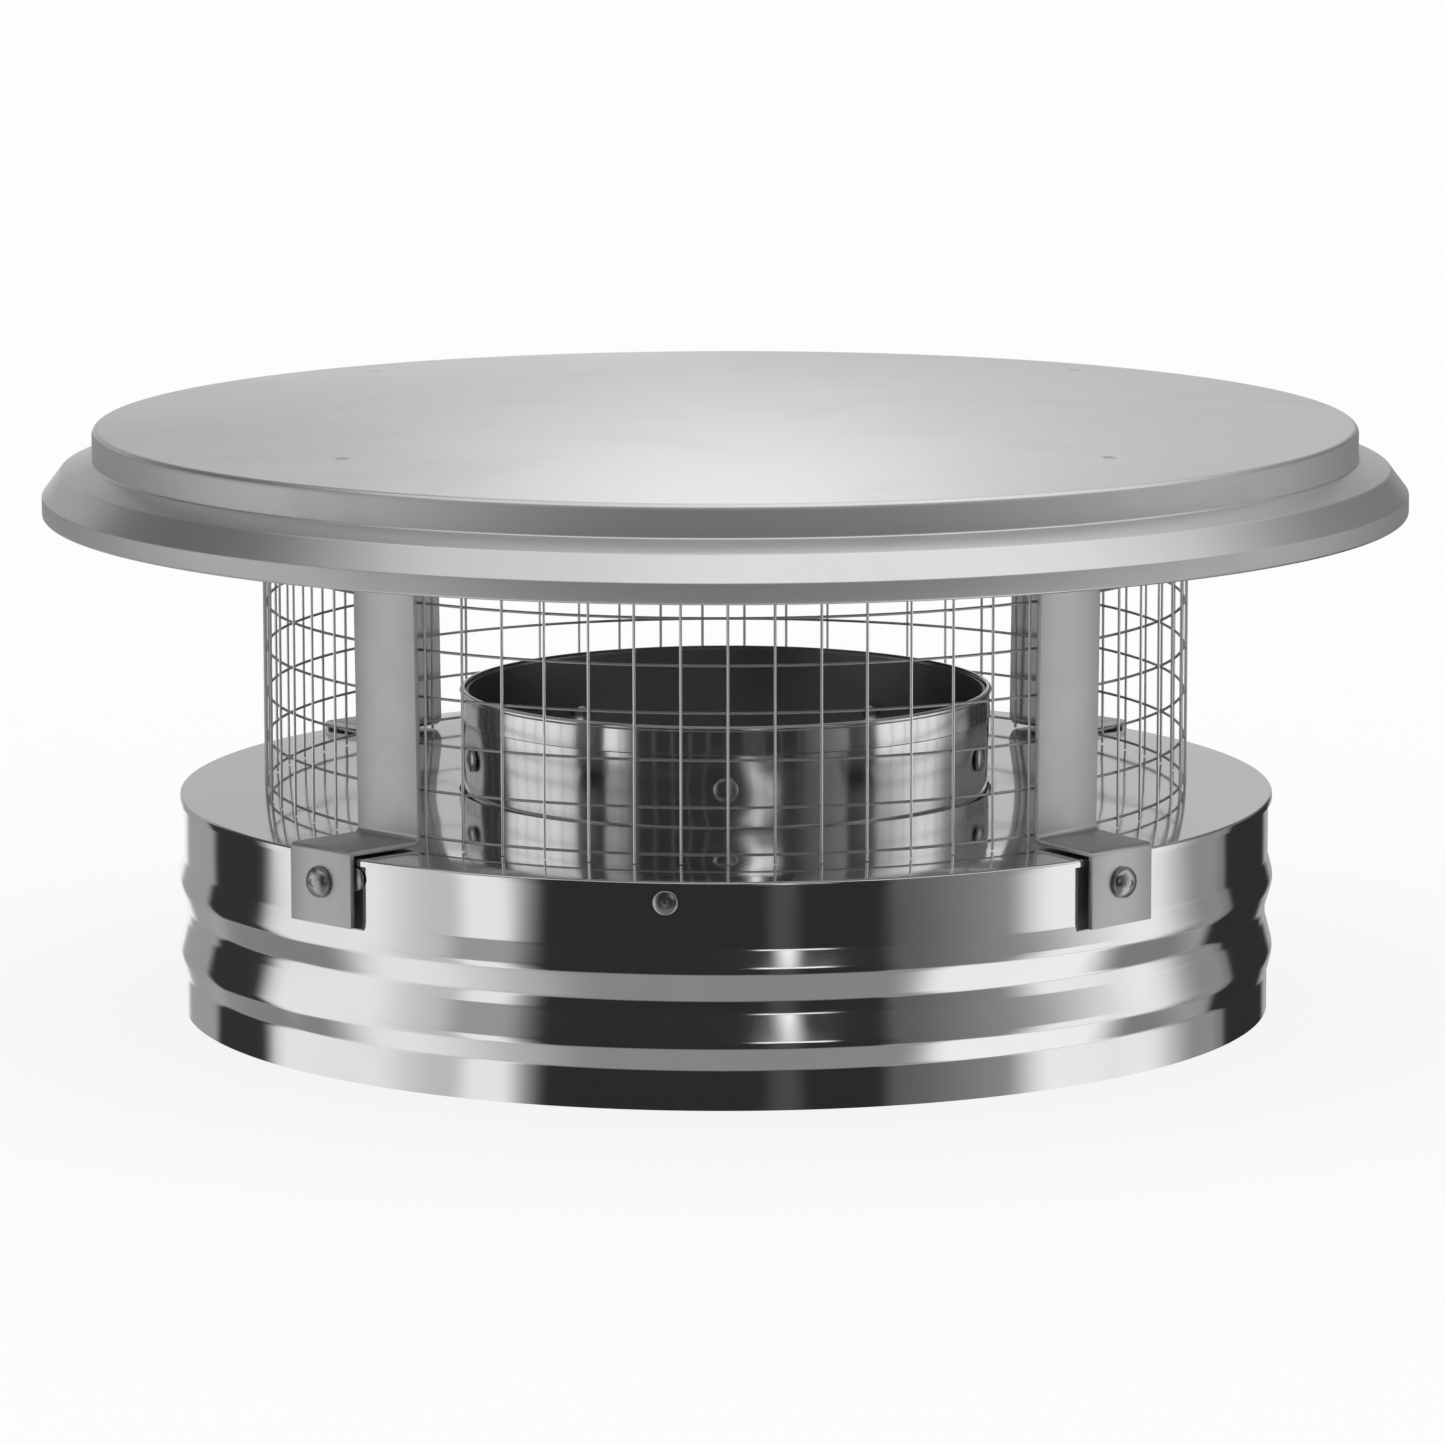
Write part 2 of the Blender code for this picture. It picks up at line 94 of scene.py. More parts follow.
LEG_TOP_TAB = 0.0235
LEG_AZIMUTHS = {"front_left": -43.9, "front_right": 44.4, "back_right": 135, "back_left": -135}
LEG_TAB_SHIFTS = {"front_left": -0.0012, "front_right": -0.0040, "back_right": 0, "back_left": 0}
print("skirt", 2 * SKIRT_RADIUS, "m wide, lid", 2 * LID_RIM_RADIUS, "m wide")

# %% [markdown]
# ## Drawing a section
#
# A folded sheet has round bends, so its line is built from straight runs and arcs. A second
# line at the sheet's thickness to one side closes it. Offsetting with mitred corners keeps the
# wall even through the bends, which a Solidify modifier would also do, but a drawn
# section lets a hem or a cut edge differ from the rest.

# %% Helpers for sections
def arc(centre, radius, start, end, steps):
    """Points (radius, height) on an arc, with angles in degrees from outwards towards up."""
    points = []
    for step in range(steps + 1):
        angle = math.radians(start + (end - start) * step / steps)
        points.append((centre[0] + radius * math.cos(angle), centre[1] + radius * math.sin(angle)))
    return points


def offset_line(line, distance):
    """The line moved sideways to its right by a distance, with mitred corners."""
    normals = []
    for (r0, z0), (r1, z1) in zip(line, line[1:]):
        length = math.hypot(r1 - r0, z1 - z0)
        normals.append(((z1 - z0) / length, -(r1 - r0) / length))
    moved = []
    for index, (r, z) in enumerate(line):
        before = normals[max(index - 1, 0)]
        after = normals[min(index, len(normals) - 1)]
        share = 1 + before[0] * after[0] + before[1] * after[1]
        moved.append((r + distance * (before[0] + after[0]) / share,
                      z + distance * (before[1] + after[1]) / share))
    return moved


def rounded_path(corners, radius, steps):
    """The path through the corners, with an arc of the radius at each inner one."""
    path = [corners[0]]
    for before, corner, after in zip(corners, corners[1:], corners[2:]):
        arm_in = (before[0] - corner[0], before[1] - corner[1])
        arm_out = (after[0] - corner[0], after[1] - corner[1])
        length_in = math.hypot(*arm_in)
        length_out = math.hypot(*arm_out)
        cosine = (arm_in[0] * arm_out[0] + arm_in[1] * arm_out[1]) / (length_in * length_out)
        half = math.acos(cosine) / 2
        reach = radius / math.tan(half)
        middle = (arm_in[0] / length_in + arm_out[0] / length_out,
                  arm_in[1] / length_in + arm_out[1] / length_out)
        to_centre = radius / math.sin(half) / math.hypot(*middle)
        centre = (corner[0] + middle[0] * to_centre, corner[1] + middle[1] * to_centre)
        start = (corner[0] + arm_in[0] / length_in * reach, corner[1] + arm_in[1] / length_in * reach)
        first = math.atan2(start[1] - centre[1], start[0] - centre[0])
        side = arm_in[0] * arm_out[1] - arm_in[1] * arm_out[0]
        turn = (2 * half - math.pi) if side > 0 else (math.pi - 2 * half)
        for step in range(steps + 1):
            angle = first + turn * step / steps
            path.append((centre[0] + radius * math.cos(angle), centre[1] + radius * math.sin(angle)))
    path.append(corners[-1])
    return path


# %% [markdown]
# ## Spinning a section
#
# The real lid, plate and collar were spun or rolled round a former, and the spin operator
# does the same. The full turn is merged at its seam, and normals are recalculated because a
# section drawn the other way round would come out inside out.

# %% Helpers for pieces
SHARP_ANGLE = math.radians(35)
MERGE_DISTANCE = 0.000001


def finished_piece(name, bm, replaced):
    """Turns a closed bmesh into a smooth piece on the cap's one body, in place of its solids."""
    bmesh.ops.recalc_face_normals(bm, faces=bm.faces)
    mesh = bpy.data.meshes.new(name)
    bm.to_mesh(mesh)
    bm.free()
    mesh.shade_smooth()
    mesh.set_sharp_from_angle(angle=SHARP_ANGLE)
    piece = bpy.data.objects.new(name, mesh)
    bpy.context.scene.collection.objects.link(piece)
    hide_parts(*replaced)
    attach(piece, "root")
    print(name, "has", len(mesh.polygons), "faces")
    return piece


def spun_mesh(section, steps):
    """A bmesh turned about Z from a closed section, or from one that runs axis to axis."""
    bm = bmesh.new()
    points = [bm.verts.new((radius, 0, height)) for radius, height in section]
    lines = [bm.edges.new(pair) for pair in zip(points, points[1:])]
    if section[0][0] > MERGE_DISTANCE:
        lines.append(bm.edges.new((points[-1], points[0])))
    bmesh.ops.spin(bm, geom=points + lines, cent=(0, 0, 0), axis=(0, 0, 1),
                   angle=math.tau, steps=steps, use_merge=True, use_duplicate=False)
    bmesh.ops.remove_doubles(bm, verts=bm.verts, dist=MERGE_DISTANCE)
    return bm


# %% [markdown]
# ## The lid
#
# The lid is one sheet: a shallow dome that sheds rain, a short upright wall, a sloping flange,
# and a rim that is folded back inside itself, which leaves no sharp edge. Its section runs from the
# middle of the top round the rim and back underneath. The upright faces get a second material
# number, because the spinning tool left them duller. The four spot welds are made in its finish.

# %% Make the lid
LID_DOME_RADIUS = LID_PLATE_RADIUS - LID_CORNER_RADIUS
LID_DOME_STEPS = 24
LID_EDGE_RADIUS = 0.0009
LID_FOOT_RADIUS = 0.0009
LID_CREASE_ROUND = 0.0015
LID_CREASE_BACK = 0.0007
LID_HEM_THICKNESS = 0.0020
LID_UPRIGHT_SLANT = 0.5


def lid_surface(radius):
    """Height of the lid's upper face over its domed top."""
    share = radius / LID_DOME_RADIUS
    return LID_WALL_TOP + LID_CORNER_RADIUS + LID_DOME_RISE * (1 - share ** 2)


def lid_underside(radius):
    """Height of the lid's lower face over its domed top."""
    return lid_surface(radius) - LID_SHEET


lid_line = []
for step in range(LID_DOME_STEPS):
    at = LID_DOME_RADIUS * step / LID_DOME_STEPS
    lid_line.append((at, lid_surface(at)))
lid_line += arc((LID_DOME_RADIUS, LID_WALL_TOP), LID_CORNER_RADIUS, 90, 0, 8)
foot_centre = (LID_PLATE_RADIUS + LID_FOOT_RADIUS, LID_WALL_BOTTOM + LID_FOOT_RADIUS)
lid_line += arc(foot_centre, LID_FOOT_RADIUS, 180, 250, 5)
crease_centre = (LID_CREASE[0] - LID_CREASE_BACK, LID_CREASE[1] - LID_CREASE_ROUND)
lid_line += arc(crease_centre, LID_CREASE_ROUND, 70, 40, 3)
lid_line += arc((LID_RIM_RADIUS - LID_EDGE_RADIUS, LID_RIM_TOP), LID_EDGE_RADIUS, 50, 0, 5)

hem_radius = LID_RIM_RADIUS - LID_HEM_THICKNESS
lid_inside = offset_line(lid_line[:-1], LID_SHEET)
lid_inside[0] = (0, lid_line[0][1] - LID_SHEET)
lid_inside = [point for point in lid_inside if point[0] < hem_radius]
edge_centre = (LID_RIM_RADIUS - LID_EDGE_RADIUS, LID_RIM_BOTTOM + LID_EDGE_RADIUS)
lid_hem = arc(edge_centre, LID_EDGE_RADIUS, 0, -90, 4)
lid_hem += [(hem_radius, LID_RIM_BOTTOM), (hem_radius, LID_RIM_TOP - LID_EDGE_RADIUS)]
lid = finished_piece("lid_sheet", spun_mesh(lid_line + lid_hem + lid_inside[::-1], SPIN_STEPS),
                     ["lid"])
for polygon in lid.data.polygons:
    polygon.material_index = 1 if abs(polygon.normal.z) < LID_UPRIGHT_SLANT else 0

# %% [markdown]
# ## The skirt
#
# The skirt is one rolled band. Its two beads stiffen it, and they were pressed between
# rollers: each rises on a straight slope, turns over a round crest and runs down to a narrower
# waist. One line with a generous round at every corner gives that, with no crease.

# %% Make the skirt
CREST_RADIUS = SKIRT_RADIUS + 0.0016
WAIST_RADIUS = SKIRT_RADIUS - 0.0007
UPPER_BEAD_TOP = 0.0445
UPPER_CREST_HEIGHT = 0.0381
WAIST_TOP = 0.0302
WAIST_FOOT = 0.0268
LOWER_CREST_HEIGHT = 0.0178
LOWER_BEAD_FOOT = 0.0112
BEAD_ROUND = 0.006
BEAD_STEPS = 8
skirt_corners = [
    (SKIRT_RADIUS, SKIRT_TOP),
    (SKIRT_RADIUS, UPPER_BEAD_TOP),
    (CREST_RADIUS, UPPER_CREST_HEIGHT),
    (WAIST_RADIUS, WAIST_TOP),
    (WAIST_RADIUS, WAIST_FOOT),
    (CREST_RADIUS, LOWER_CREST_HEIGHT),
    (SKIRT_RADIUS, LOWER_BEAD_FOOT),
    (SKIRT_RADIUS, 0),
]
skirt_line = rounded_path(skirt_corners, BEAD_ROUND, BEAD_STEPS)
skirt_inside = [(radius - SHEET, height) for radius, height in reversed(skirt_line)]
skirt = finished_piece("skirt_band", spun_mesh(skirt_line + skirt_inside, SPIN_STEPS),
                       ["skirt"])

# %% [markdown]
# ## The plate, the collar and the sleeve
#
# The plate's outer edge is folded down over the skirt and its inner edge down along the collar.
# It is slightly higher in the middle, so water runs off. The collar narrows a little towards the plate,
# which leaves the dark joint seen there, and a rolled band stiffens its rim. A sleeve fits inside it.

# %% Make the plate, collar and sleeve
PLATE_BEND = 0.0018
PLATE_LIP_DEPTH = 0.0020
PLATE_FLANGE_DEPTH = 0.007
PLATE_HOLE_RADIUS = COLLAR_RADIUS + SEAT_GAP
COLLAR_TAIL = 0.007
COLLAR_FOOT = PLATE_HEIGHT - COLLAR_TAIL
COLLAR_HEM_PROUD = 0.0006
COLLAR_HEM_RADIUS = COLLAR_RADIUS + COLLAR_HEM_PROUD
COLLAR_HEM_HEIGHT = 0.0016
COLLAR_BAND_RISE = 0.0212
COLLAR_BAND_FOOT = PLATE_HEIGHT + COLLAR_BAND_RISE
COLLAR_BAND_STEP = 0.0003
COLLAR_NARROWING = 0.0006
SLEEVE_RADIUS = COLLAR_RADIUS - SHEET - SEAT_GAP
SLEEVE_TOP_DROP = 0.0010
SLEEVE_TOP = COLLAR_TOP - SLEEVE_TOP_DROP
SLEEVE_FOOT = 0.002


def plate_surface(radius):
    """Height of the plate's upper face, which falls slightly towards its rim."""
    return PLATE_HEIGHT + PLATE_FALL * (SKIRT_RADIUS - radius) / (SKIRT_RADIUS - COLLAR_RADIUS)


plate_inner_height = plate_surface(PLATE_HOLE_RADIUS)
bend_centre = (PLATE_HOLE_RADIUS + PLATE_BEND, plate_inner_height - PLATE_BEND)
lip_centre = (PLATE_LIP_RADIUS - SHEET, PLATE_HEIGHT - SHEET)
plate_line = [(PLATE_HOLE_RADIUS, plate_inner_height - PLATE_FLANGE_DEPTH)]
plate_line += arc(bend_centre, PLATE_BEND, 180, 90, 8)
plate_line += arc(lip_centre, SHEET, 90, 0, 6)
plate_line += [(PLATE_LIP_RADIUS, PLATE_HEIGHT - PLATE_LIP_DEPTH),
               (PLATE_LIP_RADIUS - SHEET, PLATE_HEIGHT - PLATE_LIP_DEPTH), lip_centre]
plate_line += arc(bend_centre, PLATE_BEND - SHEET, 90, 180, 6)
plate_line.append((PLATE_HOLE_RADIUS + SHEET, plate_inner_height - PLATE_FLANGE_DEPTH))
plate = finished_piece("ring_plate", spun_mesh(plate_line, SPIN_STEPS), ["base_plate"])

hem_middle = COLLAR_TOP - COLLAR_HEM_HEIGHT / 2
collar_waist = COLLAR_RADIUS - COLLAR_NARROWING
collar_line = [(COLLAR_RADIUS - SHEET, COLLAR_FOOT), (collar_waist, COLLAR_FOOT),
               (collar_waist, PLATE_HEIGHT), (COLLAR_RADIUS, COLLAR_BAND_FOOT - COLLAR_BAND_STEP),
               (COLLAR_RADIUS + COLLAR_BAND_STEP, COLLAR_BAND_FOOT)]
hem_centre = (COLLAR_HEM_RADIUS - COLLAR_HEM_HEIGHT / 2, hem_middle)
collar_line += arc(hem_centre, COLLAR_HEM_HEIGHT / 2, -75, 90, 8)
collar_line.append((COLLAR_RADIUS - SHEET, COLLAR_TOP))
collar = finished_piece("collar_tube", spun_mesh(collar_line, SPIN_STEPS), ["flue_collar"])

sleeve_line = [(SLEEVE_RADIUS - SHEET, SLEEVE_FOOT), (SLEEVE_RADIUS, SLEEVE_FOOT),
               (SLEEVE_RADIUS, SLEEVE_TOP), (SLEEVE_RADIUS - SHEET, SLEEVE_TOP)]
sleeve = finished_piece("sleeve_tube", spun_mesh(sleeve_line, SPIN_STEPS), ["flue_sleeve"])

# %% [markdown]
# ## The straps
#
# Each leg is a flat strap with four folds: a tab down the skirt, a shelf over the rim, an
# upright, and a tab that turns outwards under the lid. Drawing its side and extruding it by the strap's
# width keeps every fold the same thickness. The cut edges get a hair of a bevel, because a sheared
# edge is never quite sharp and it catches the light.

# %% Make the straps
EDGE_BEVEL = 0.00025
FOLD_STEPS = 8


def strap_corners():
    """The strap's outer face in a plane through the axis, from the tab's foot to the tip on top."""
    tab_radius = LEG_TAB_RADIUS + STRAP_SHEET
    upright_foot = LEG_FOOT_RADIUS + STRAP_SHEET
    upright_top = LEG_TOP_RADIUS + STRAP_SHEET
    tip = upright_top + LEG_TOP_TAB
    below_lid = SEAT_GAP + STRAP_SHEET
    return [(tab_radius, SHELF_TOP - LEG_TAB_DEPTH), (tab_radius, SHELF_TOP), (upright_foot, SHELF_TOP),
            (upright_top, lid_underside(upright_top) - below_lid), (tip, lid_underside(tip) - below_lid)]


def shelf_share(radius, height):
    """How far out along the shelf a point of the strap lies, from 0 at the upright to 1 at the tab."""
    start = LEG_FOOT_RADIUS + STRAP_SHEET + STRAP_BEND
    end = LEG_TAB_RADIUS + STRAP_SHEET - STRAP_BEND
    above_shelf = height > SHELF_TOP + MERGE_DISTANCE
    return 0 if above_shelf else min(max((radius - start) / (end - start), 0), 1)


def make_strap(place, azimuth):
    """One folded strap, turned to its place round the cap."""
    face = rounded_path(strap_corners(), STRAP_BEND, FOLD_STEPS)
    back = offset_line(face, -STRAP_SHEET)
    bm = bmesh.new()
    outline = [bm.verts.new((radius, -STRAP_WIDTH / 2, height)) for radius, height in face + back[::-1]]
    side = bm.faces.new(outline)
    grown = bmesh.ops.extrude_face_region(bm, geom=[side])
    moved = [item for item in grown["geom"] if isinstance(item, bmesh.types.BMVert)]
    bmesh.ops.translate(bm, verts=moved, vec=(0, STRAP_WIDTH, 0))
    for vert in bm.verts:
        vert.co.y += LEG_TAB_SHIFTS[place] * shelf_share(vert.co.x, vert.co.z)
    cut_edges = [edge for edge in bm.edges if any(len(f.verts) > 4 for f in edge.link_faces)]
    bmesh.ops.bevel(bm, geom=cut_edges, offset=EDGE_BEVEL, segments=2, profile=0.5,
                    affect="EDGES", material=-1)
    turn = math.radians(azimuth - 90)
    bmesh.ops.rotate(bm, verts=bm.verts, cent=(0, 0, 0), matrix=Matrix.Rotation(turn, 3, "Z"))
    return finished_piece("strap_" + place, bm, ["leg_" + place])


straps = [make_strap(place, azimuth) for place, azimuth in LEG_AZIMUTHS.items()]

# %% [markdown]
# ## The rivets
#
# The rivets are blind ones: a domed head with the stub of the pulled pin in a dimple, and a tail
# that spreads behind the sheet. A section spun about the rivet's own axis gives all of it, and it is
# then laid on its side and turned to its place. Three sorts differ only in their numbers.

# %% Make the rivets
RIVET_STEPS = 32
RIVET_DOME_STEPS = 9
PIN_RADIUS = 0.0009
PIN_FLAT_SHARE = 0.6
PIN_DEPTH = 0.0003
DIMPLE_RADIUS = 0.0011
HEAD_EDGE = 0.0003
SHANK_RADIUS = 0.0016
TAIL_RADIUS = 0.0024
TAIL_LENGTH = 0.0022
TAIL_GAP = 0.0005
FOOT_HEAD_RADIUS = 0.0044
FOOT_HEAD_CROWN = 0.0030
FOOT_RIVET_DROP = 0.0097
SKIRT_HEAD_RADIUS = 0.0034
SKIRT_HEAD_CROWN = 0.0011
SKIRT_RIVET_DROP = 0.0058
SKIRT_RIVET_AZIMUTHS = (-6, -40.4, 139.6, 174)
COLLAR_HEAD_RADIUS = 0.0036
COLLAR_HEAD_CROWN = 0.0015
COLLAR_RIVET_RISE = 0.0112
COLLAR_RIVET_COUNT = 5
COLLAR_RIVET_SPACING = 360 / COLLAR_RIVET_COUNT


def rivet_section(head_radius, crown, grip):
    """A blind rivet from its crown to its tail, both on its axis. Its height 0 is the sheet's face."""
    first = math.asin(DIMPLE_RADIUS / head_radius)
    dome = []
    for step in range(RIVET_DOME_STEPS + 1):
        angle = first + (math.pi / 2 - first) * step / RIVET_DOME_STEPS
        rise = (crown - HEAD_EDGE) * math.cos(angle)
        dome.append((head_radius * math.sin(angle), SEAT_GAP + HEAD_EDGE + rise))
    dimple = dome[0][1] - PIN_DEPTH
    section = [(0, dimple + PIN_DEPTH / 2), (PIN_RADIUS * PIN_FLAT_SHARE, dimple + PIN_DEPTH / 3),
               (PIN_RADIUS, dimple)]
    section += dome
    section += [(head_radius, SEAT_GAP), (SHANK_RADIUS, SEAT_GAP), (SHANK_RADIUS, -grip - TAIL_GAP)]
    section += [(TAIL_RADIUS, -grip - TAIL_GAP - TAIL_LENGTH / 2), (0, -grip - TAIL_GAP - TAIL_LENGTH)]
    return section


def make_rivet(node, section, azimuth, radius, height, sideways=0):
    """One rivet whose own axis is turned to point straight out of the cap."""
    bm = spun_mesh(section, RIVET_STEPS)
    turn = math.radians(azimuth - 90)
    bmesh.ops.rotate(bm, verts=bm.verts, cent=(0, 0, 0), matrix=Matrix.Rotation(math.pi / 2, 3, "Y"))
    bmesh.ops.translate(bm, verts=bm.verts, vec=(radius, sideways, height))
    bmesh.ops.rotate(bm, verts=bm.verts, cent=(0, 0, 0), matrix=Matrix.Rotation(turn, 3, "Z"))
    return finished_piece(node + "_head", bm, [node])


rivets = []
tab_face = LEG_TAB_RADIUS + STRAP_SHEET
foot_height = SHELF_TOP - FOOT_RIVET_DROP
foot_section = rivet_section(FOOT_HEAD_RADIUS, FOOT_HEAD_CROWN, tab_face - (SKIRT_RADIUS - SHEET))
for place, azimuth in LEG_AZIMUTHS.items():
    rivets.append(make_rivet("foot_rivet_" + place, foot_section, azimuth, tab_face, foot_height,
                             LEG_TAB_SHIFTS[place]))
skirt_height = PLATE_HEIGHT - SKIRT_RIVET_DROP
skirt_section = rivet_section(SKIRT_HEAD_RADIUS, SKIRT_HEAD_CROWN, SHEET)
for number, azimuth in enumerate(SKIRT_RIVET_AZIMUTHS, 1):
    rivets.append(make_rivet(f"skirt_rivet_{number}", skirt_section, azimuth, SKIRT_RADIUS, skirt_height))
collar_height = PLATE_HEIGHT + COLLAR_RIVET_RISE
collar_face = COLLAR_RADIUS - COLLAR_NARROWING / 2
collar_section = rivet_section(COLLAR_HEAD_RADIUS, COLLAR_HEAD_CROWN, collar_face - SLEEVE_RADIUS + SHEET)
for number in range(COLLAR_RIVET_COUNT):
    node = f"collar_rivet_{number + 1}"
    azimuth = COLLAR_RIVET_SPACING * number
    rivets.append(make_rivet(node, collar_section, azimuth, collar_face, collar_height))

# %% [markdown]
# ## The wire screen
#
# The screen is welded half-inch mesh rolled into a cylinder: upright wires outside, hoops inside,
# welded where they cross. A wireframe modifier on a grid would give square wires with knots, so the
# wires are made one by one. A hoop is a circle spun about the axis, and an upright is a thin rod that
# is set down again at each place round the cap. One of them stands almost at the very front.

# %% Make the screen
WIRE_RADIUS = 0.0004
WIRE_SIDES = 8
HOOP_STEPS = 132
UPRIGHT_COUNT = 65
FIRST_UPRIGHT_AZIMUTH = 0.25
FIRST_UPRIGHT = math.radians(FIRST_UPRIGHT_AZIMUTH - 90)
FIRST_HOOP = 0.0025
HOOP_PITCH = 0.0130
HOOP_RADIUS = SCREEN_RADIUS - 3 * WIRE_RADIUS
UPRIGHT_RADIUS = SCREEN_RADIUS - WIRE_RADIUS
SCREEN_FOOT = plate_surface(SCREEN_RADIUS) + SEAT_GAP
SCREEN_TOP = lid_underside(SCREEN_RADIUS) - 2 * SEAT_GAP


def wire_hoop(bm, height):
    """Adds one hoop: a small upright circle spun about the cap's axis."""
    turned = Matrix.Translation((HOOP_RADIUS, 0, height)) @ Matrix.Rotation(math.pi / 2, 4, "X")
    ring = bmesh.ops.create_circle(bm, segments=WIRE_SIDES, radius=WIRE_RADIUS, matrix=turned)["verts"]
    edges = list({edge for vert in ring for edge in vert.link_edges})
    bmesh.ops.spin(bm, geom=ring + edges, cent=(0, 0, 0), axis=(0, 0, 1),
                   angle=math.tau, steps=HOOP_STEPS, use_merge=True, use_duplicate=False)


def wire_upright(bm, number):
    """Adds one upright rod at its place round the cap."""
    length = SCREEN_TOP - SCREEN_FOOT
    place = Matrix.Rotation(FIRST_UPRIGHT + math.tau * number / UPRIGHT_COUNT, 4, "Z")
    place = place @ Matrix.Translation((UPRIGHT_RADIUS, 0, (SCREEN_TOP + SCREEN_FOOT) / 2))
    bmesh.ops.create_cone(bm, cap_ends=True, segments=WIRE_SIDES, radius1=WIRE_RADIUS,
                          radius2=WIRE_RADIUS, depth=length, matrix=place)


screen_mesh = bmesh.new()
hoop_height = SCREEN_FOOT + FIRST_HOOP
while hoop_height < SCREEN_TOP - WIRE_RADIUS:
    wire_hoop(screen_mesh, hoop_height)
    hoop_height += HOOP_PITCH
hoop_faces = set(screen_mesh.faces)
for number in range(UPRIGHT_COUNT):
    wire_upright(screen_mesh, number)
# Hoops take the tint painted as shade, uprights the tint painted as light.
for face in screen_mesh.faces:
    face.material_index = 0 if face in hoop_faces else 1
screen = finished_piece("wire_mesh", screen_mesh, ["screen"])

# %% [markdown]
# ## Shared surface effects
#
# Every sheet here shows the same things at different strengths: fine rolling marks, faint
# smudges from handling, and a slight unevenness that bends reflections. Each is a node group with
# named sockets, so that a material only says how much it takes of each.

# %% Node helpers
def new_group(name, inputs, outputs):
    """A shader node group with named float or vector sockets, and its two end nodes."""
    group = bpy.data.node_groups.new(name, "ShaderNodeTree")
    for label, kind, value in inputs:
        socket = group.interface.new_socket(label, in_out="INPUT", socket_type=kind)
        if value is not None:
            socket.default_value = value
    for label, kind in outputs:
        group.interface.new_socket(label, in_out="OUTPUT", socket_type=kind)
    return group, group.nodes.new("NodeGroupInput"), group.nodes.new("NodeGroupOutput")


def add_node(tree, kind, values=None, **settings):
    """A node with its settings and unlinked input values."""
    node = tree.nodes.new(kind)
    for key, value in settings.items():
        setattr(node, key, value)
    for key, value in (values or {}).items():
        node.inputs[key].default_value = value
    return node


def math_node(tree, operation, first, second):
    """A Math node whose inputs are sockets or numbers."""
    node = add_node(tree, "ShaderNodeMath", operation=operation)
    for socket, value in zip(node.inputs, (first, second)):
        if isinstance(value, (int, float)):
            socket.default_value = value
        else:
            tree.links.new(value, socket)
    return node.outputs[0]


FLOAT = "NodeSocketFloat"
VECTOR = "NodeSocketVector"

# %% [markdown]
# Rolling marks are noise that is stretched hard along the sheet's rolling direction. Smudges are soft
# noise with a threshold. The unevenness is slow noise that is only a height. The ring of spots is a
# distance and not noise, because spot welds and rivets stand at even steps round the axis. Image
# textures could do all four, but they would need a file and would blur when seen close up.

# %% Surface effect groups
def rolling_marks_group():
    """Fine parallel marks: noise stretched by the given scale."""
    inputs = [("Vector", VECTOR, None), ("Stretch", VECTOR, (8, 900, 900))]
    group, start, end = new_group("rolling_marks", inputs, [("Height", FLOAT)])
    scaled = add_node(group, "ShaderNodeVectorMath", operation="MULTIPLY")
    group.links.new(start.outputs["Vector"], scaled.inputs[0])
    group.links.new(start.outputs["Stretch"], scaled.inputs[1])
    noise = add_node(group, "ShaderNodeTexNoise", {"Scale": 1.0, "Detail": 3.0, "Roughness": 0.6})
    group.links.new(scaled.outputs[0], noise.inputs["Vector"])
    group.links.new(noise.outputs["Fac"], end.inputs["Height"])
    return group


def smudges_group():
    """A soft mask of handling marks, from 0 on clean steel to 1."""
    inputs = [("Vector", VECTOR, None), ("Scale", FLOAT, 14.0), ("Amount", FLOAT, 0.5)]
    group, start, end = new_group("smudges", inputs, [("Mask", FLOAT)])
    noise = add_node(group, "ShaderNodeTexNoise", {"Detail": 5.0, "Roughness": 0.62, "Distortion": 0.6})
    group.links.new(start.outputs["Vector"], noise.inputs["Vector"])
    group.links.new(start.outputs["Scale"], noise.inputs["Scale"])
    ramp = add_node(group, "ShaderNodeMapRange", {"From Min": 0.45, "From Max": 0.75},
                    interpolation_type="SMOOTHSTEP")
    group.links.new(noise.outputs["Fac"], ramp.inputs["Value"])
    scaled = math_node(group, "MULTIPLY", ramp.outputs[0], start.outputs["Amount"])
    group.links.new(scaled, end.inputs["Mask"])
    return group


def unevenness_group():
    """A slow height that bends reflections, as in thin sheet."""
    inputs = [("Vector", VECTOR, None), ("Scale", FLOAT, 9.0)]
    group, start, end = new_group("unevenness", inputs, [("Height", FLOAT)])
    noise = add_node(group, "ShaderNodeTexNoise", {"Detail": 1.0, "Roughness": 0.4})
    group.links.new(start.outputs["Vector"], noise.inputs["Vector"])
    group.links.new(start.outputs["Scale"], noise.inputs["Scale"])
    group.links.new(noise.outputs["Fac"], end.inputs["Height"])
    return group


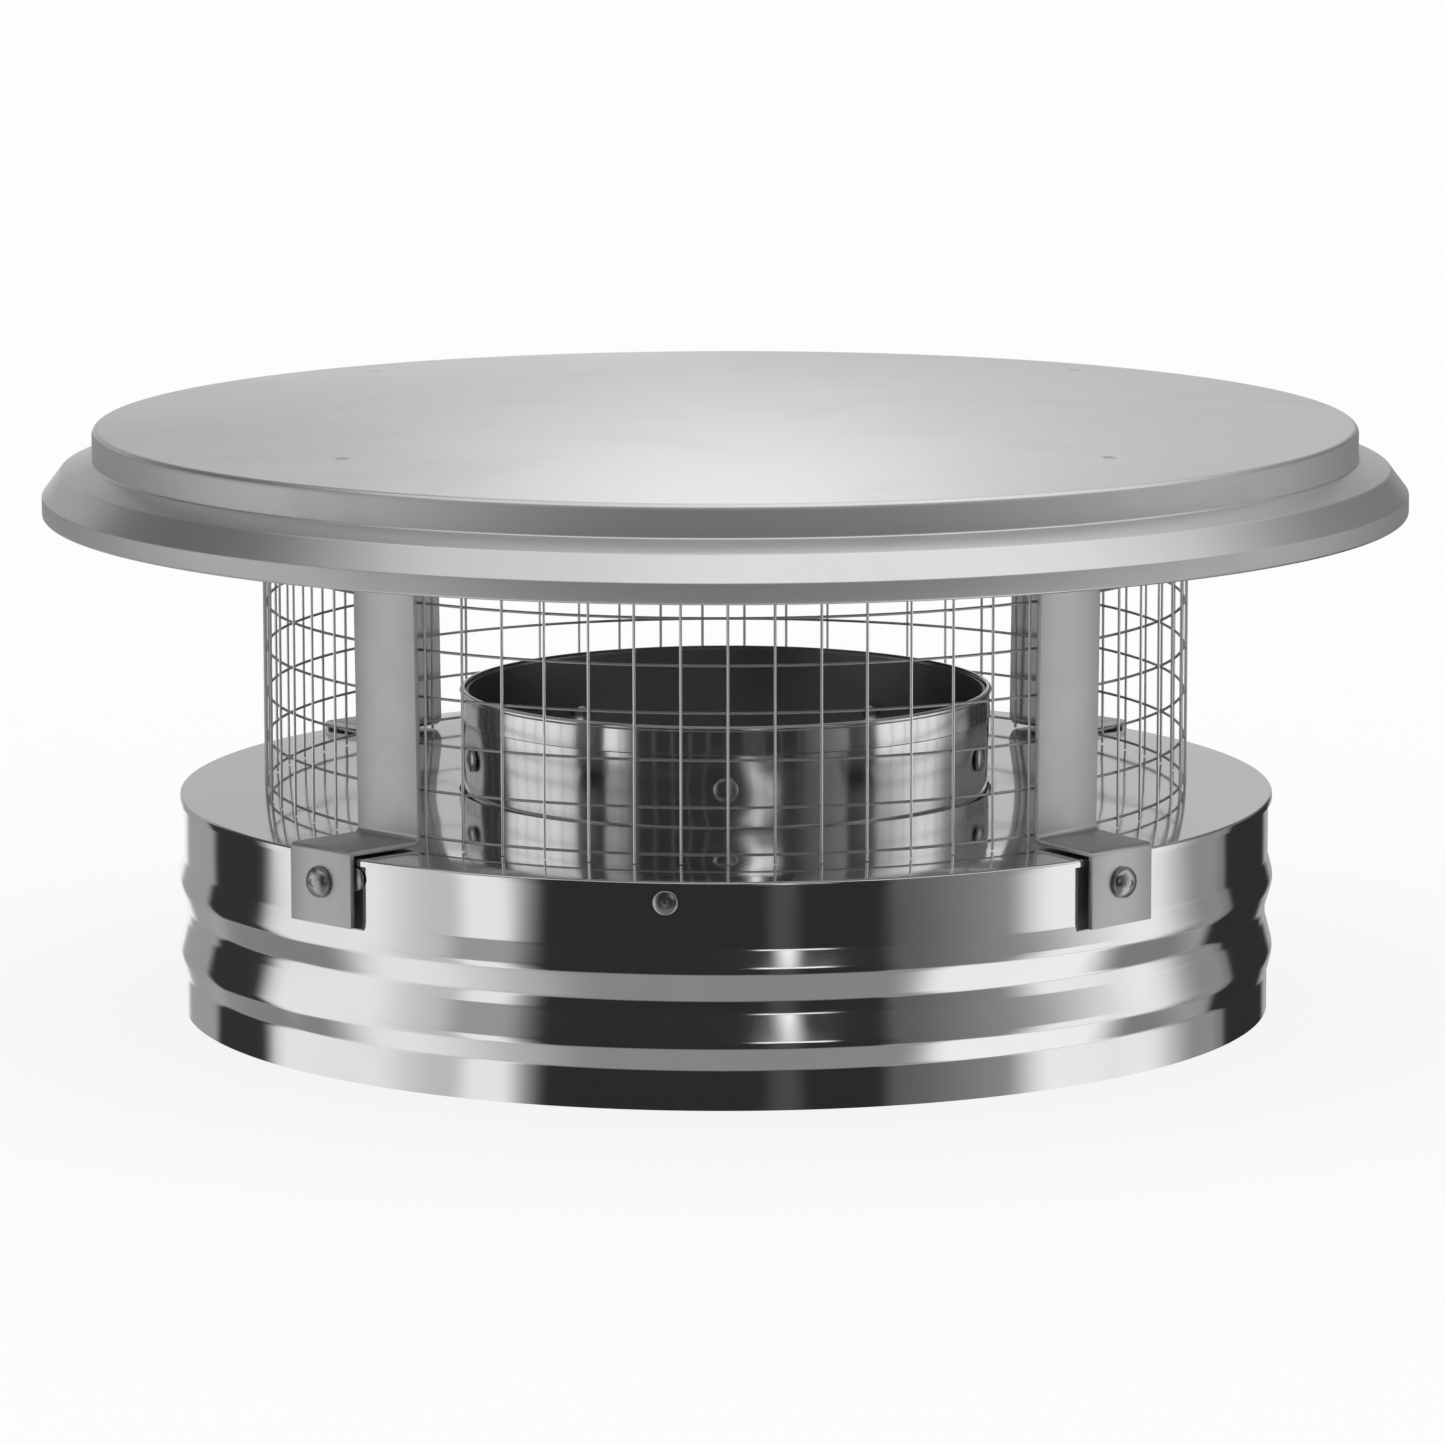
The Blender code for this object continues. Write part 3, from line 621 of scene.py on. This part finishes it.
def ring_of_spots_group():
    """How far a place is from the nearest of some spots, which are set out evenly round the axis."""
    inputs = [("Vector", VECTOR, None), ("First Azimuth", FLOAT, 0.0), ("Spacing", FLOAT, 90.0),
              ("Arc Radius", FLOAT, 0.1), ("Off Ring", FLOAT, 0.0)]
    group, start, end = new_group("ring_of_spots", inputs, [("Distance", FLOAT)])
    place = add_node(group, "ShaderNodeSeparateXYZ")
    group.links.new(start.outputs["Vector"], place.inputs[0])
    towards_front = math_node(group, "MULTIPLY", place.outputs["Y"], -1)
    azimuth = math_node(group, "DEGREES", math_node(group, "ARCTAN2", place.outputs["X"], towards_front), 0)
    half = math_node(group, "MULTIPLY", start.outputs["Spacing"], 0.5)
    wrapped = add_node(group, "ShaderNodeMath", operation="WRAP")
    from_first = math_node(group, "SUBTRACT", azimuth, start.outputs["First Azimuth"])
    group.links.new(from_first, wrapped.inputs[0])
    group.links.new(half, wrapped.inputs[1])
    group.links.new(math_node(group, "MULTIPLY", half, -1), wrapped.inputs[2])
    along = math_node(group, "MULTIPLY", math_node(group, "RADIANS", wrapped.outputs[0], 0),
                      start.outputs["Arc Radius"])
    squares = [math_node(group, "POWER", value, 2) for value in (along, start.outputs["Off Ring"])]
    distance = math_node(group, "SQRT", math_node(group, "ADD", *squares), 0)
    group.links.new(distance, end.inputs["Distance"])
    return group


ROLLING_MARKS = rolling_marks_group()
SMUDGES = smudges_group()
UNEVENNESS = unevenness_group()
RING_OF_SPOTS = ring_of_spots_group()
print("groups:", [group.name for group in bpy.data.node_groups])

# %% [markdown]
# ## Steel finishes
#
# Stainless sheet is a mirror with a skin of marks. A finish here takes its tint, how rough clean and
# smudged steel are, and how high its marks and unevenness are, in metres. Metal is set straight on
# the shader, because it is the same all over.

# %% Steel finish builder
SMUDGE_SCALE = 14.0
SMUDGE_SHADE = 0.93
UNEVENNESS_SCALE = 30.0


def steel_finish(name, tint, metal, roughness, marks, wave, stretch):
    """A stainless steel material with rolling marks, smudges and a slight unevenness.

    The roughness is a pair, for clean and for smudged steel.
    """
    material = bpy.data.materials.new(name)
    material.use_nodes = True
    tree = material.node_tree
    shader = tree.nodes["Principled BSDF"]
    shader.inputs["Metallic"].default_value = metal
    place = add_node(tree, "ShaderNodeTexCoord").outputs["Object"]

    lines = add_node(tree, "ShaderNodeGroup", {"Stretch": stretch}, node_tree=ROLLING_MARKS)
    smudge = add_node(tree, "ShaderNodeGroup", {"Scale": SMUDGE_SCALE, "Amount": 1.0}, node_tree=SMUDGES)
    slow = add_node(tree, "ShaderNodeGroup", {"Scale": UNEVENNESS_SCALE}, node_tree=UNEVENNESS)
    for group in (lines, smudge, slow):
        tree.links.new(place, group.inputs["Vector"])

    colour = add_node(tree, "ShaderNodeMix", data_type="RGBA", blend_type="MIX")
    colour.inputs["A"].default_value = (*tint, 1)
    colour.inputs["B"].default_value = (*[channel * SMUDGE_SHADE for channel in tint], 1)
    tree.links.new(smudge.outputs["Mask"], colour.inputs["Factor"])
    tree.links.new(colour.outputs["Result"], shader.inputs["Base Color"])

    rough = add_node(tree, "ShaderNodeMapRange", {"To Min": roughness[0], "To Max": roughness[1]})
    tree.links.new(smudge.outputs["Mask"], rough.inputs["Value"])
    tree.links.new(rough.outputs[0], shader.inputs["Roughness"])

    fine = add_node(tree, "ShaderNodeBump", {"Strength": 1.0, "Distance": marks})
    tree.links.new(lines.outputs["Height"], fine.inputs["Height"])
    bent = add_node(tree, "ShaderNodeBump", {"Strength": 1.0, "Distance": wave})
    tree.links.new(slow.outputs["Height"], bent.inputs["Height"])
    tree.links.new(bent.outputs[0], fine.inputs["Normal"])
    tree.links.new(fine.outputs[0], shader.inputs["Normal"])
    return material


def dress(pieces, *materials):
    """Gives each piece its material, or the several that its faces are numbered for."""
    for piece in pieces:
        for material in materials:
            piece.data.materials.append(material)


def spot_distance(tree, spots, off_ring):
    """Places the ring of spots in a material, with a socket for how far off their ring a place is."""
    node = add_node(tree, "ShaderNodeGroup", spots, node_tree=RING_OF_SPOTS)
    tree.links.new(add_node(tree, "ShaderNodeTexCoord").outputs["Object"], node.inputs["Vector"])
    tree.links.new(off_ring, node.inputs["Off Ring"])
    return node.outputs["Distance"]


def press_in(tree, distance, reach, depth):
    """Adds a round dent to a material: its height rises with the distance, up to the reach."""
    dent = add_node(tree, "ShaderNodeMapRange", {"From Max": reach}, interpolation_type="SMOOTHSTEP")
    tree.links.new(distance, dent.inputs["Value"])
    bump = add_node(tree, "ShaderNodeBump", {"Strength": 1.0, "Distance": depth})
    tree.links.new(dent.outputs[0], bump.inputs["Height"])
    normal = tree.nodes["Principled BSDF"].inputs["Normal"]
    last = normal.links[0].from_node
    tree.links.new(last.inputs["Normal"].links[0].from_socket, bump.inputs["Normal"])
    tree.links.new(bump.outputs[0], last.inputs["Normal"])


# %% [markdown]
# ## The nine finishes
#
# The skirt and plate are bright mill-rolled sheet, almost a mirror, with marks that run round the cap.
# The lid is satin, and duller still where the spinning tool pressed its upright faces. The straps
# are brushed along their length. The uprights are given a paler tint than the hoops as painted light,
# and the hoops a darker one as painted shade, because the uprights stand outside and catch the light.
# One builder makes them all, so that only what differs is written here.

# %% Finishes
bright_sheet = steel_finish("bright_sheet", tint=(0.80, 0.80, 0.81), metal=1.0, roughness=(0.07, 0.13),
                            marks=0.0000012, wave=0.00025, stretch=(6, 6, 1500))
collar_sheet = steel_finish("collar_sheet", tint=(0.74, 0.74, 0.75), metal=1.0, roughness=(0.12, 0.18),
                            marks=0.0000012, wave=0.00025, stretch=(6, 6, 1500))
satin_sheet = steel_finish("satin_sheet", tint=(0.77, 0.775, 0.785), metal=0.95, roughness=(0.30, 0.35),
                           marks=0.000003, wave=0.0001, stretch=(8, 900, 900))
spun_edge = steel_finish("spun_edge", tint=(0.56, 0.565, 0.575), metal=0.85, roughness=(0.52, 0.58),
                         marks=0.000003, wave=0.0, stretch=(8, 8, 900))
satin_strap = steel_finish("satin_strap", tint=(0.50, 0.505, 0.515), metal=0.90, roughness=(0.38, 0.44),
                           marks=0.000004, wave=0.0001, stretch=(900, 900, 8))
# The sleeve's dark tint is painted shade for the dark inside of the flue; its higher roughness is its dull
# finish.
dull_pipe_painted_shade = steel_finish("dull_pipe_painted_shade", tint=(0.30, 0.30, 0.31), metal=1.0, roughness=(0.34, 0.42),
                         marks=0.000003, wave=0.0002, stretch=(6, 6, 900))
# One wire steel in two tints: the uprights' pale tint is painted light, the hoops' dark tint painted shade.
upright_wire_painted_lit = steel_finish("upright_wire_painted_lit", tint=(0.78, 0.78, 0.79), metal=0.8, roughness=(0.34, 0.44),
                            marks=0.000002, wave=0.0, stretch=(300, 300, 60))
hoop_wire_painted_shade = steel_finish("hoop_wire_painted_shade", tint=(0.42, 0.42, 0.43), metal=0.9, roughness=(0.34, 0.44),
                         marks=0.000002, wave=0.0, stretch=(60, 60, 300))
rivet_metal = steel_finish("rivet_metal", tint=(0.46, 0.46, 0.47), metal=1.0, roughness=(0.26, 0.34),
                           marks=0.000002, wave=0.0, stretch=(300, 300, 300))
print("finishes:", [material.name for material in bpy.data.materials])

# %% [markdown]
# ## Spot welds and dents
#
# The lid's four spot welds are small dark marks on its top, and each collar rivet has drawn the
# thin sheet round it a little inwards. Both are too shallow to be worth a shape, so a ring of spots
# gives each place its distance, and that becomes a darker tint or a height.

# %% Weld marks and rivet dents
WELD_RING_RADIUS = 0.148
WELD_MARK_RADIUS = 0.0013
WELD_MARK_STRENGTH = 0.6
WELD_TINT = (0.20, 0.20, 0.21, 1)
DENT_REACH = 0.013
DENT_DEPTH = 0.0003


def mark_welds(material):
    """Darkens four small spots on the lid, over the straps' upper tabs."""
    tree = material.node_tree
    place = add_node(tree, "ShaderNodeVectorMath", operation="MULTIPLY")
    place.inputs[1].default_value = (1, 1, 0)
    tree.links.new(add_node(tree, "ShaderNodeTexCoord").outputs["Object"], place.inputs[0])
    radius = add_node(tree, "ShaderNodeVectorMath", operation="LENGTH")
    tree.links.new(place.outputs[0], radius.inputs[0])
    off_ring = math_node(tree, "SUBTRACT", radius.outputs["Value"], WELD_RING_RADIUS)
    spots = {"First Azimuth": 45.0, "Spacing": 90.0, "Arc Radius": WELD_RING_RADIUS}
    distance = spot_distance(tree, spots, off_ring)
    fade = {"From Min": WELD_MARK_RADIUS, "From Max": 2 * WELD_MARK_RADIUS,
            "To Min": WELD_MARK_STRENGTH, "To Max": 0.0}
    mark = add_node(tree, "ShaderNodeMapRange", fade)
    tree.links.new(distance, mark.inputs["Value"])
    base = tree.nodes["Principled BSDF"].inputs["Base Color"]
    darker = add_node(tree, "ShaderNodeMix", data_type="RGBA", blend_type="MIX")
    tree.links.new(base.links[0].from_socket, darker.inputs["A"])
    darker.inputs["B"].default_value = WELD_TINT
    tree.links.new(mark.outputs[0], darker.inputs["Factor"])
    tree.links.new(darker.outputs["Result"], base)


def dent_collar(material):
    """Draws the sheet in round each collar rivet."""
    tree = material.node_tree
    place = add_node(tree, "ShaderNodeSeparateXYZ")
    tree.links.new(add_node(tree, "ShaderNodeTexCoord").outputs["Object"], place.inputs[0])
    off_ring = math_node(tree, "SUBTRACT", place.outputs["Z"], collar_height)
    spots = {"First Azimuth": 0.0, "Spacing": COLLAR_RIVET_SPACING, "Arc Radius": COLLAR_RADIUS}
    press_in(tree, spot_distance(tree, spots, off_ring), DENT_REACH, DENT_DEPTH)


mark_welds(satin_sheet)
dent_collar(collar_sheet)
dress([skirt, plate], bright_sheet)
dress([collar], collar_sheet)
dress([lid], satin_sheet, spun_edge)
dress(straps, satin_strap)
dress([sleeve], dull_pipe_painted_shade)
dress([screen], hoop_wire_painted_shade, upright_wire_painted_lit)
dress(rivets, rivet_metal)
print("dressed", 6 + len(straps) + len(rivets), "pieces")

# %% [markdown]
# ## Floor
#
# The floor is nearly white to the camera and keeps a trace of the cap's shadow, because it is one
# part plain paint and four parts white glow, and only camera rays see the glow. Reflections don't see
# it at all: a mirror-bright skirt shows the room that it stands in, which is in the world below.

# %% Floor
FLOOR_SIZE = 12.0
FLOOR_WHITE_SHARE = 0.80
FLOOR_PAINT = (0.9, 0.9, 0.9, 1)
WHITE = (1, 1, 1, 1)


def make_floor():
    """A plain pale floor."""
    bm = bmesh.new()
    bmesh.ops.create_grid(bm, x_segments=1, y_segments=1, size=FLOOR_SIZE / 2)
    mesh = bpy.data.meshes.new("floor")
    bm.to_mesh(mesh)
    bm.free()
    floor = bpy.data.objects.new("floor", mesh)
    bpy.context.scene.collection.objects.link(floor)
    material = bpy.data.materials.new("floor_paint")
    material.use_nodes = True
    tree = material.node_tree
    tree.nodes.clear()
    paint = add_node(tree, "ShaderNodeBsdfDiffuse", {"Color": FLOOR_PAINT})
    white = add_node(tree, "ShaderNodeEmission", {"Color": WHITE, "Strength": 1.0})
    light_path = add_node(tree, "ShaderNodeLightPath")
    share = math_node(tree, "MULTIPLY", light_path.outputs["Is Camera Ray"], FLOOR_WHITE_SHARE)
    mixed = add_node(tree, "ShaderNodeMixShader")
    tree.links.new(share, mixed.inputs["Fac"])
    tree.links.new(paint.outputs[0], mixed.inputs[1])
    tree.links.new(white.outputs[0], mixed.inputs[2])
    out = add_node(tree, "ShaderNodeOutputMaterial")
    tree.links.new(mixed.outputs[0], out.inputs["Surface"])
    mesh.materials.append(material)
    floor.visible_glossy = False
    return floor


floor = make_floor()
print("floor is", FLOOR_SIZE, "m wide")

# %% [markdown]
# ## The room that the steel reflects
#
# Polished steel has almost no look of its own, so what makes its picture is what stands round it: a
# dark room behind the camera, bright panels at both sides and above, a narrow black flag behind each
# side, and a grey table. Real cards and lamps could be modelled, but they would also light the floor.
# Here each is a soft-edged window of directions, in degrees round from the camera's side and up
# from level.

# %% Room group
def window_mask(group, value, low, high, low_blur, high_blur):
    """1 where a value lies between two sockets' values, with a soft step at each side."""
    steps = []
    for edge, blur, rising in ((low, low_blur, True), (high, high_blur, False)):
        half = math_node(group, "MULTIPLY", blur, 0.5)
        first = math_node(group, "SUBTRACT", edge, half)
        last = math_node(group, "ADD", edge, half)
        step = add_node(group, "ShaderNodeMapRange", interpolation_type="SMOOTHSTEP")
        group.links.new(value, step.inputs["Value"])
        group.links.new(first, step.inputs["From Min"])
        group.links.new(last, step.inputs["From Max"])
        steps.append(step.outputs[0] if rising else math_node(group, "SUBTRACT", 1, step.outputs[0]))
    return math_node(group, "MULTIPLY", *steps)


def room_panel_group():
    """One panel of the room, laid over what is already there."""
    names = ["Before", "Brightness", "Azimuth", "Azimuth From", "Azimuth To", "From Blur", "To Blur",
             "Elevation", "Elevation From", "Elevation To", "Elevation Blur"]
    group, start, end = new_group("room_panel", [(name, FLOAT, 0.0) for name in names], [("After", FLOAT)])
    sockets = start.outputs
    across = window_mask(group, sockets["Azimuth"], sockets["Azimuth From"], sockets["Azimuth To"],
                         sockets["From Blur"], sockets["To Blur"])
    along = window_mask(group, sockets["Elevation"], sockets["Elevation From"], sockets["Elevation To"],
                        sockets["Elevation Blur"], sockets["Elevation Blur"])
    mask = math_node(group, "MULTIPLY", across, along)
    mixed = add_node(group, "ShaderNodeMix", data_type="FLOAT")
    group.links.new(mask, mixed.inputs["Factor"])
    group.links.new(sockets["Before"], mixed.inputs["A"])
    group.links.new(sockets["Brightness"], mixed.inputs["B"])
    group.links.new(mixed.outputs["Result"], end.inputs["After"])
    return group


ROOM_PANEL = room_panel_group()
print("a room panel has", len(ROOM_PANEL.nodes), "nodes")

# %% [markdown]
# ## Directions in the world
#
# A world shader is asked for a colour in each direction that a ray leaves in. From that direction
# come two angles, and each panel is laid over what the ones before it left. A later panel
# covers an earlier one, as in a painting that is done from the back to the front.

# %% World and its directions
WALL_BRIGHTNESS = 0.50


def new_room():
    """A world with one plain brightness so far, and the two angles of each direction."""
    world = bpy.data.worlds.new("studio")
    bpy.context.scene.world = world
    world.use_nodes = True
    tree = world.node_tree
    direction = add_node(tree, "ShaderNodeSeparateXYZ")
    tree.links.new(add_node(tree, "ShaderNodeTexCoord").outputs["Generated"], direction.inputs[0])
    towards_camera = math_node(tree, "MULTIPLY", direction.outputs["Y"], -1)
    turn = math_node(tree, "ARCTAN2", direction.outputs["X"], towards_camera)
    rise = math_node(tree, "ARCSINE", direction.outputs["Z"], 0)
    brightness = add_node(tree, "ShaderNodeValue").outputs[0]
    brightness.default_value = WALL_BRIGHTNESS
    return {"tree": tree, "azimuth": math_node(tree, "DEGREES", turn, 0),
            "elevation": math_node(tree, "DEGREES", rise, 0), "brightness": brightness}


room = new_room()


def lay_panel(azimuths, elevations, level, blurs=(4, 4), elevation_blur=6):
    """Lays a panel over the room so far, with angles and the blurs of its edges in degrees."""
    tree = room["tree"]
    node = add_node(tree, "ShaderNodeGroup", node_tree=ROOM_PANEL)
    sizes = {"Brightness": level, "Azimuth From": azimuths[0], "Azimuth To": azimuths[1],
             "From Blur": blurs[0], "To Blur": blurs[1], "Elevation From": elevations[0],
             "Elevation To": elevations[1], "Elevation Blur": elevation_blur}
    for name, value in sizes.items():
        node.inputs[name].default_value = value
    tree.links.new(room["azimuth"], node.inputs["Azimuth"])
    tree.links.new(room["elevation"], node.inputs["Elevation"])
    tree.links.new(room["brightness"], node.inputs["Before"])
    room["brightness"] = node.outputs["After"]


# %% [markdown]
# ## The back wall and the table
#
# The flat plate and the lid's top show what is far behind the cap, which is paler at the left. What
# leans downwards, such as the lower half of each bead, shows the grey table. The table is bright
# where the panels at both sides light it, and dark near the flags and in front of the camera.

# %% Lay the back wall and the table
LEFT_ROUND = -200
RIGHT_ROUND = 200
BELOW = -100
ABOVE = 100
TABLE_EDGE = -24

lay_panel((150, RIGHT_ROUND), (TABLE_EDGE, 45), 0.54, blurs=(10, 1))
lay_panel((160, RIGHT_ROUND), (TABLE_EDGE, 1), 0.40, blurs=(8, 1))
lay_panel((LEFT_ROUND, -160), (TABLE_EDGE, 2), 0.95, blurs=(1, 10))
lay_panel((LEFT_ROUND, RIGHT_ROUND), (BELOW, TABLE_EDGE), 0.60)
lay_panel((-145, -96), (BELOW, -20), 0.26, blurs=(14, 14))
lay_panel((96, 145), (BELOW, TABLE_EDGE), 0.24, blurs=(10, 6))
lay_panel((-90, -62), (BELOW, TABLE_EDGE), 0.92, blurs=(12, 30))
lay_panel((48, 92), (BELOW, -22), 1.05, blurs=(10, 8))
lay_panel((-43, 44), (BELOW, TABLE_EDGE), 0.29, blurs=(30, 10))
print("the world has", len(room["tree"].nodes), "nodes")

# %% [markdown]
# ## The side walls
#
# Each side has a large bright panel, which gives the skirt its two broad light bands, and behind it
# a narrow black flag. A flag is a dark cloth on a frame. It draws the hard dark line near each end of
# the skirt, and without it bright steel would melt into a white background.

# %% Lay the side walls
lay_panel((-162, -136), (-20, 12), 0.36, blurs=(10, 6))
lay_panel((-109, -38), (TABLE_EDGE, 28), 0.60, blurs=(10, 6))
lay_panel((-109, -72), (TABLE_EDGE, 28), 0.95, blurs=(10, 20))
lay_panel((-137, -112), (-19, 26), 0.035, blurs=(5, 6))
lay_panel((-60, -36), (-1, 40), 0.36, blurs=(8, 6))
lay_panel((-57, -45), (-26, -1), 0.95, blurs=(6, 7))
lay_panel((32, 128), (-22, 40), 0.12)
lay_panel((50, 128), (-22, 40), 0.30, blurs=(34, 8))
lay_panel((78, 108), (-22, 46), 1.0, blurs=(36, 20))
lay_panel((66, 88), (-22, 2), 1.0, blurs=(14, 10))
lay_panel((129, 162), (-60, 26), 0.03, blurs=(6, 8))
print("the world has", len(room["tree"].nodes), "nodes")

# %% [markdown]
# ## The ceiling and the dark front
#
# The lid's sloping flange leans back, so it shows the ceiling, which is darker at the left and over the
# flags. The room behind the camera is dark, and it gives the black middle of the skirt. One small
# lamp there makes the sparks on the beads, and the wide soft light below it reaches the collar by way of
# the plate. The last two panels are one lamp behind the lid, cut in two where the angle wraps round.

# %% Lay the ceiling and the front
CEILING_EDGE = 46
LAMP_BEHIND = 1.45

lay_panel((LEFT_ROUND, RIGHT_ROUND), (CEILING_EDGE, ABOVE), 0.97, elevation_blur=22)
lay_panel((LEFT_ROUND, -30), (CEILING_EDGE, ABOVE), 0.76, blurs=(1, 40), elevation_blur=22)
lay_panel((-170, -74), (22, 52), 0.07, blurs=(14, 20), elevation_blur=12)
lay_panel((114, 166), (6, 34), 0.16, blurs=(24, 8), elevation_blur=12)
lay_panel((-42, 34), (TABLE_EDGE, 48), 0.028, blurs=(10, 4), elevation_blur=8)
lay_panel((9, 15), (TABLE_EDGE, 40), 0.08, blurs=(4, 4))
lay_panel((6, 22), (8, 13), 1.4, blurs=(4, 4), elevation_blur=4)
lay_panel((11.5, 15), (15, 26), 1.9, blurs=(5, 5), elevation_blur=6)
lay_panel((177.5, RIGHT_ROUND), (14, 34), LAMP_BEHIND, blurs=(3, 1), elevation_blur=5)
lay_panel((LEFT_ROUND, -177.5), (14, 34), LAMP_BEHIND, blurs=(1, 3), elevation_blur=5)
print("the world has", len(room["tree"].nodes), "nodes")

# %% [markdown]
# ## Who sees the room
#
# Only glossy rays see the room. The camera and the soft light that falls on dull surfaces see plain
# white at strength 1, so a colour renders about as it is written, and there is no lamp to balance.

# %% Finish the world
def show_room():
    """Gives glossy rays the room, and all other rays white."""
    tree = room["tree"]
    background = tree.nodes["Background"]
    background.inputs["Strength"].default_value = 1.0
    light_path = add_node(tree, "ShaderNodeLightPath")
    shown = add_node(tree, "ShaderNodeMix", data_type="RGBA", blend_type="MIX")
    shown.inputs["A"].default_value = WHITE
    tree.links.new(light_path.outputs["Is Glossy Ray"], shown.inputs["Factor"])
    tree.links.new(room["brightness"], shown.inputs["B"])
    tree.links.new(shown.outputs["Result"], background.inputs["Color"])


show_room()
print("the world has", len(room["tree"].nodes), "nodes")

# %% [markdown]
# ## Camera
#
# The camera's place was fitted to the photograph: the rim of the skirt, the lid's outline and the
# straps fix how far away it stood and how far down it looked.

# %% Camera
CAMERA_PLACE = (-0.0009, -2.180, 0.4339)
CAMERA_PITCH = 0.1605
CAMERA_ROLL = -0.0015
CAMERA_FOCAL_PIXELS = 7656
FRAME_PIXELS = 1445
SENSOR_WIDTH = 36.0

camera_data = bpy.data.cameras.new("photo_camera")
camera_data.sensor_width = SENSOR_WIDTH
camera_data.lens = CAMERA_FOCAL_PIXELS / FRAME_PIXELS * SENSOR_WIDTH
camera_data.clip_end = 50
camera = bpy.data.objects.new("photo_camera", camera_data)
bpy.context.scene.collection.objects.link(camera)
tilt = Matrix.Rotation(math.pi / 2 - CAMERA_PITCH, 4, "X")
camera.matrix_world = Matrix.Translation(CAMERA_PLACE) @ tilt @ Matrix.Rotation(CAMERA_ROLL, 4, "Z")
bpy.context.scene.camera = camera
bpy.context.scene.view_settings.view_transform = "Standard"
print("lens", round(camera_data.lens, 2), "mm")
